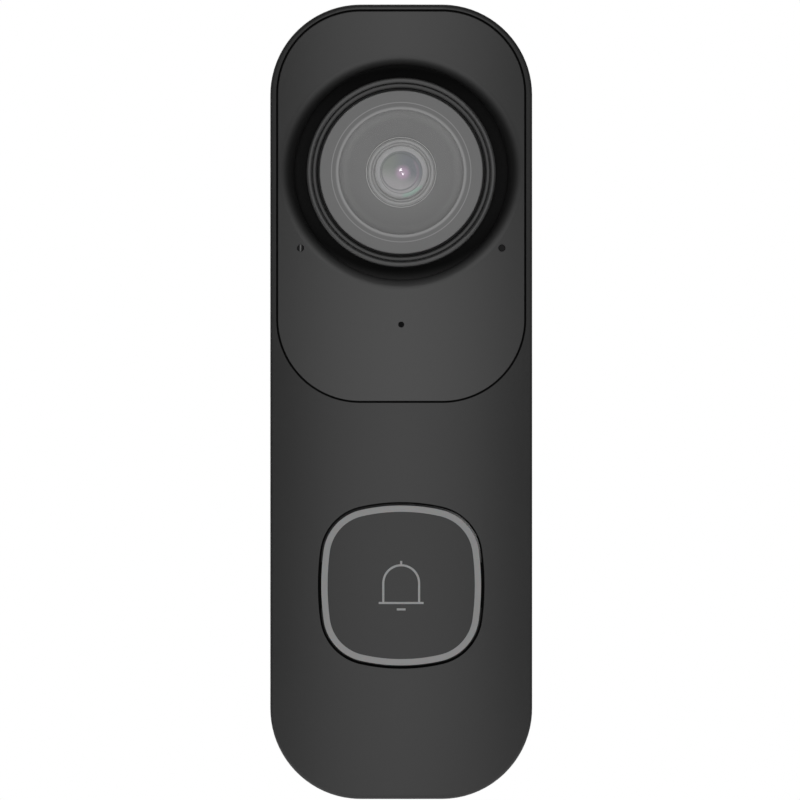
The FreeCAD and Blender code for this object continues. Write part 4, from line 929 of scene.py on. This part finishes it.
def circuit_board(name, mask, track, pad):
    """Tracks under solder mask, across in some areas and along in others, and round pads."""
    finish = Finish(name, IOR=1.5, Coat_Weight=0.3)
    area = finish.noise(110, detail=1)
    raised = tracks(finish.along("Z")) * (area > 0.5) + tracks(finish.along("X")) * (area < 0.47)
    pads = finish.node("TexVoronoi", {}, {"Vector": finish.place(), "Scale": 260}) < 0.13
    tracked = finish.blend(raised, finish.blend(finish.noise(800), mask, track), track)
    finish.set(Base_Color=finish.blend(pads, tracked, pad))
    finish.set(Metallic=pads)
    finish.set(Roughness=0.4 - 0.1 * pads)
    finish.bump(raised, 0.3, 0.03)
    return finish


green_board = circuit_board("green_board", GREEN_MASK, GREEN_TRACK, TINNED_PAD)
black_board = circuit_board("black_board", grey(0.003), grey(0.008), grey(0.006))
finish_parts(green_board, "main_board", "camera_board")
finish_parts(black_board, "button_board", "infrared_board")

# %% Nylon and sheet metal
def glass_nylon(name, level):
    finish = Finish(name, IOR=1.53)
    fibres = finish.noise(1500, detail=5)
    finish.set(Base_Color=finish.blend(fibres, grey(level * 0.7), grey(level * 1.3)))
    finish.set(Roughness=0.46 + 0.2 * (fibres - 0.5))
    finish.bump(fibres, 0.12, 0.03)
    return finish


def sheet_metal(name, dark, bright, roughness):
    """Rolled metal with faint streaks along x."""
    finish = Finish(name, Metallic=1.0)
    stretch = finish.node("Mapping", {}, {"Vector": finish.place(), "Scale": (60, 900, 900)})
    streaks = finish.node("TexNoise", {}, {"Vector": stretch, "Scale": 1.0, "Detail": 3.0})
    finish.set(Base_Color=finish.blend(streaks, dark, bright))
    finish.set(Roughness=roughness + 0.2 * (streaks - 0.5))
    finish.bump(streaks, 0.05, 0.02)
    return finish


black_nylon = glass_nylon("black_nylon", 0.022)
finish_parts(black_nylon, "lens_holder", "filter_housing", "filter_carrier", "button_switch",
             "switch_plunger", "board_connectors", "reset_switch", "speaker_frame", "microphone")
finish_parts(sheet_metal("tinned_steel", grey(0.45), grey(0.62), 0.35), "shield_can")
finish_parts(sheet_metal("brass", (0.5, 0.36, 0.14, 1), (0.66, 0.5, 0.22, 1), 0.32), "terminal_plates")

# %% Copper wire
WIRE_WIDTH = 0.3
COPPER = (0.62, 0.26, 0.12, 1)
CREASE_SHADE_COPPER = (0.2, 0.07, 0.03, 1)


def wound_wire(name):
    """Enamelled copper wire in close turns, painted darker where the turns meet as painted shade."""
    finish = Finish(name, Metallic=0.9)
    turn = abs((finish.along("Z") % WIRE_WIDTH) - WIRE_WIDTH / 2) / (WIRE_WIDTH / 2)
    finish.set(Base_Color=finish.blend(turn, COPPER, CREASE_SHADE_COPPER))
    finish.set(Roughness=0.3 + 0.2 * turn)
    finish.bump(1 - turn * turn, 0.8, 0.08)
    return finish


finish_parts(wound_wire("wound_wire"), "filter_coil", "power_inductor")

# %% Image sensor
CELLS_PER_MM = 8
STREET = 0.15
VIOLET = (0.09, 0.04, 0.12, 1)
TEAL = (0.03, 0.09, 0.1, 1)


def sensor_silicon(name):
    """Silicon with its grid of cells, tinted by interference."""
    finish = Finish(name, IOR=2.2, Coat_Weight=0.6)
    x = finish.along("X")
    z = finish.along("Z")
    cell = (((x * CELLS_PER_MM) % 1) > STREET) * (((z * CELLS_PER_MM) % 1) > STREET)
    tint = finish.blend(finish.fade(x + z - AXIS_Z, -4, 4), VIOLET, TEAL)
    finish.set(Base_Color=finish.blend(cell, grey(0.02), tint))
    finish.set(Roughness=0.2 + 0.1 * cell)
    return finish


finish_parts(sensor_silicon("sensor_silicon"), "image_sensor")

# %% Lamps, glass panes and paper
def lamp_body(name, case, middle):
    """A moulded chip lamp: a pale case, clouded where its resin is thicker."""
    finish = Finish(name, IOR=1.55, Coat_Weight=0.4)
    resin = finish.noise(650, detail=1)
    finish.set(Base_Color=finish.blend(finish.fade(resin, 0.4, 0.6), case, middle))
    finish.set(Roughness=0.3 + 0.2 * resin)
    return finish


def glass_pane(name, tint, alpha):
    finish = Finish(name, IOR=1.52)
    haze = finish.noise(500)
    finish.set(Base_Color=finish.blend(haze, tint, (tint[0] * 0.85, tint[1] * 0.9, tint[2], 1)))
    finish.set(Alpha=alpha + 0.05 * haze)
    finish.set(Roughness=0.05 + 0.05 * haze)
    return finish


def pressed_paper(name):
    finish = Finish(name)
    fibres = finish.noise(2400, detail=6)
    finish.set(Base_Color=finish.blend(fibres, grey(0.03), grey(0.07, 0.05)))
    finish.set(Roughness=0.85 + 0.1 * fibres)
    finish.bump(fibres, 0.4, 0.05)
    return finish


white_lamp = lamp_body("lamp_body", (0.7, 0.68, 0.6, 1), (0.75, 0.55, 0.15, 1))
dark_lamp = lamp_body("infrared_body", grey(0.05), (0.12, 0.05, 0.08, 1))
finish_parts(white_lamp, "button_leds", "status_led")
finish_parts(dark_lamp, "infrared_leds", "light_sensor")
finish_parts(glass_pane("filter_pane", (0.4, 0.7, 0.75, 1), 0.55), "filter_glass")
finish_parts(glass_pane("clear_pane", (0.85, 0.9, 0.88, 1), 0.25), "clear_glass")
finish_parts(pressed_paper("pressed_paper"), "speaker_cone")

# %% Antenna and capacitors
def banded_part(name, ground, band, start, end):
    """A part with one printed band between two heights."""
    finish = Finish(name, IOR=1.5, Coat_Weight=0.3)
    z = finish.along("Z")
    tone = finish.noise(500)
    printed = (z > start) * (z < end)
    finish.set(Base_Color=finish.blend(printed, finish.blend(tone, ground, grey(0.05)), band))
    finish.set(Roughness=0.35 + 0.15 * tone)
    return finish


CERAMIC = (0.1, 0.12, 0.14, 1)
SILVER_PASTE = (0.7, 0.6, 0.35, 1)
BLUE_SLEEVE = (0.01, 0.015, 0.04, 1)
antenna_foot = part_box("wireless_antenna")[0].z / MM
capacitor_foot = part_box("power_capacitors")[0].z / MM
antenna = banded_part("antenna_ceramic", CERAMIC, SILVER_PASTE, antenna_foot + 1, antenna_foot + 1.6)
sleeve = banded_part("capacitor_sleeve", BLUE_SLEEVE, grey(0.5), capacitor_foot, capacitor_foot + 1.2)
finish_parts(antenna, "wireless_antenna")
finish_parts(sleeve, "power_capacitors")

# %% [markdown]
# ## Floor
#
# The unit hangs on a wall, so the floor is only a round sheet of pale paper a little way under it. Its paper
# also glows softly, or it would keep the front light off the unit's lower end.

# %% Floor
FLOOR_RADIUS = 0.2
FLOOR_BACK = 0.02
FLOOR_HEIGHT = cad_box[0].z - 14 * MM


def glowing_paper(name):
    finish = Finish(name, Emission_Strength=0.48)
    paper = finish.noise(900, detail=4)
    finish.set(Base_Color=finish.blend(paper, grey(0.78), grey(0.8)))
    finish.set(Emission_Color=finish.blend(paper, grey(0.97), grey(1.0)))
    finish.set(Roughness=0.85 + 0.1 * (paper - 0.5))
    return finish


floor_mesh = bmesh.new()
bmesh.ops.create_circle(floor_mesh, cap_ends=True, segments=96, radius=FLOOR_RADIUS)
bmesh.ops.translate(floor_mesh, verts=floor_mesh.verts, vec=(0, FLOOR_BACK, FLOOR_HEIGHT))
floor_data = bpy.data.meshes.new("floor")
floor_mesh.to_mesh(floor_data)
floor_mesh.free()
floor_data.materials.append(glowing_paper("floor_paper").material)
floor = bpy.data.objects.new("floor", floor_data)
bpy.context.scene.collection.objects.link(floor)
print("floor at", round(FLOOR_HEIGHT, 3))

# %% [markdown]
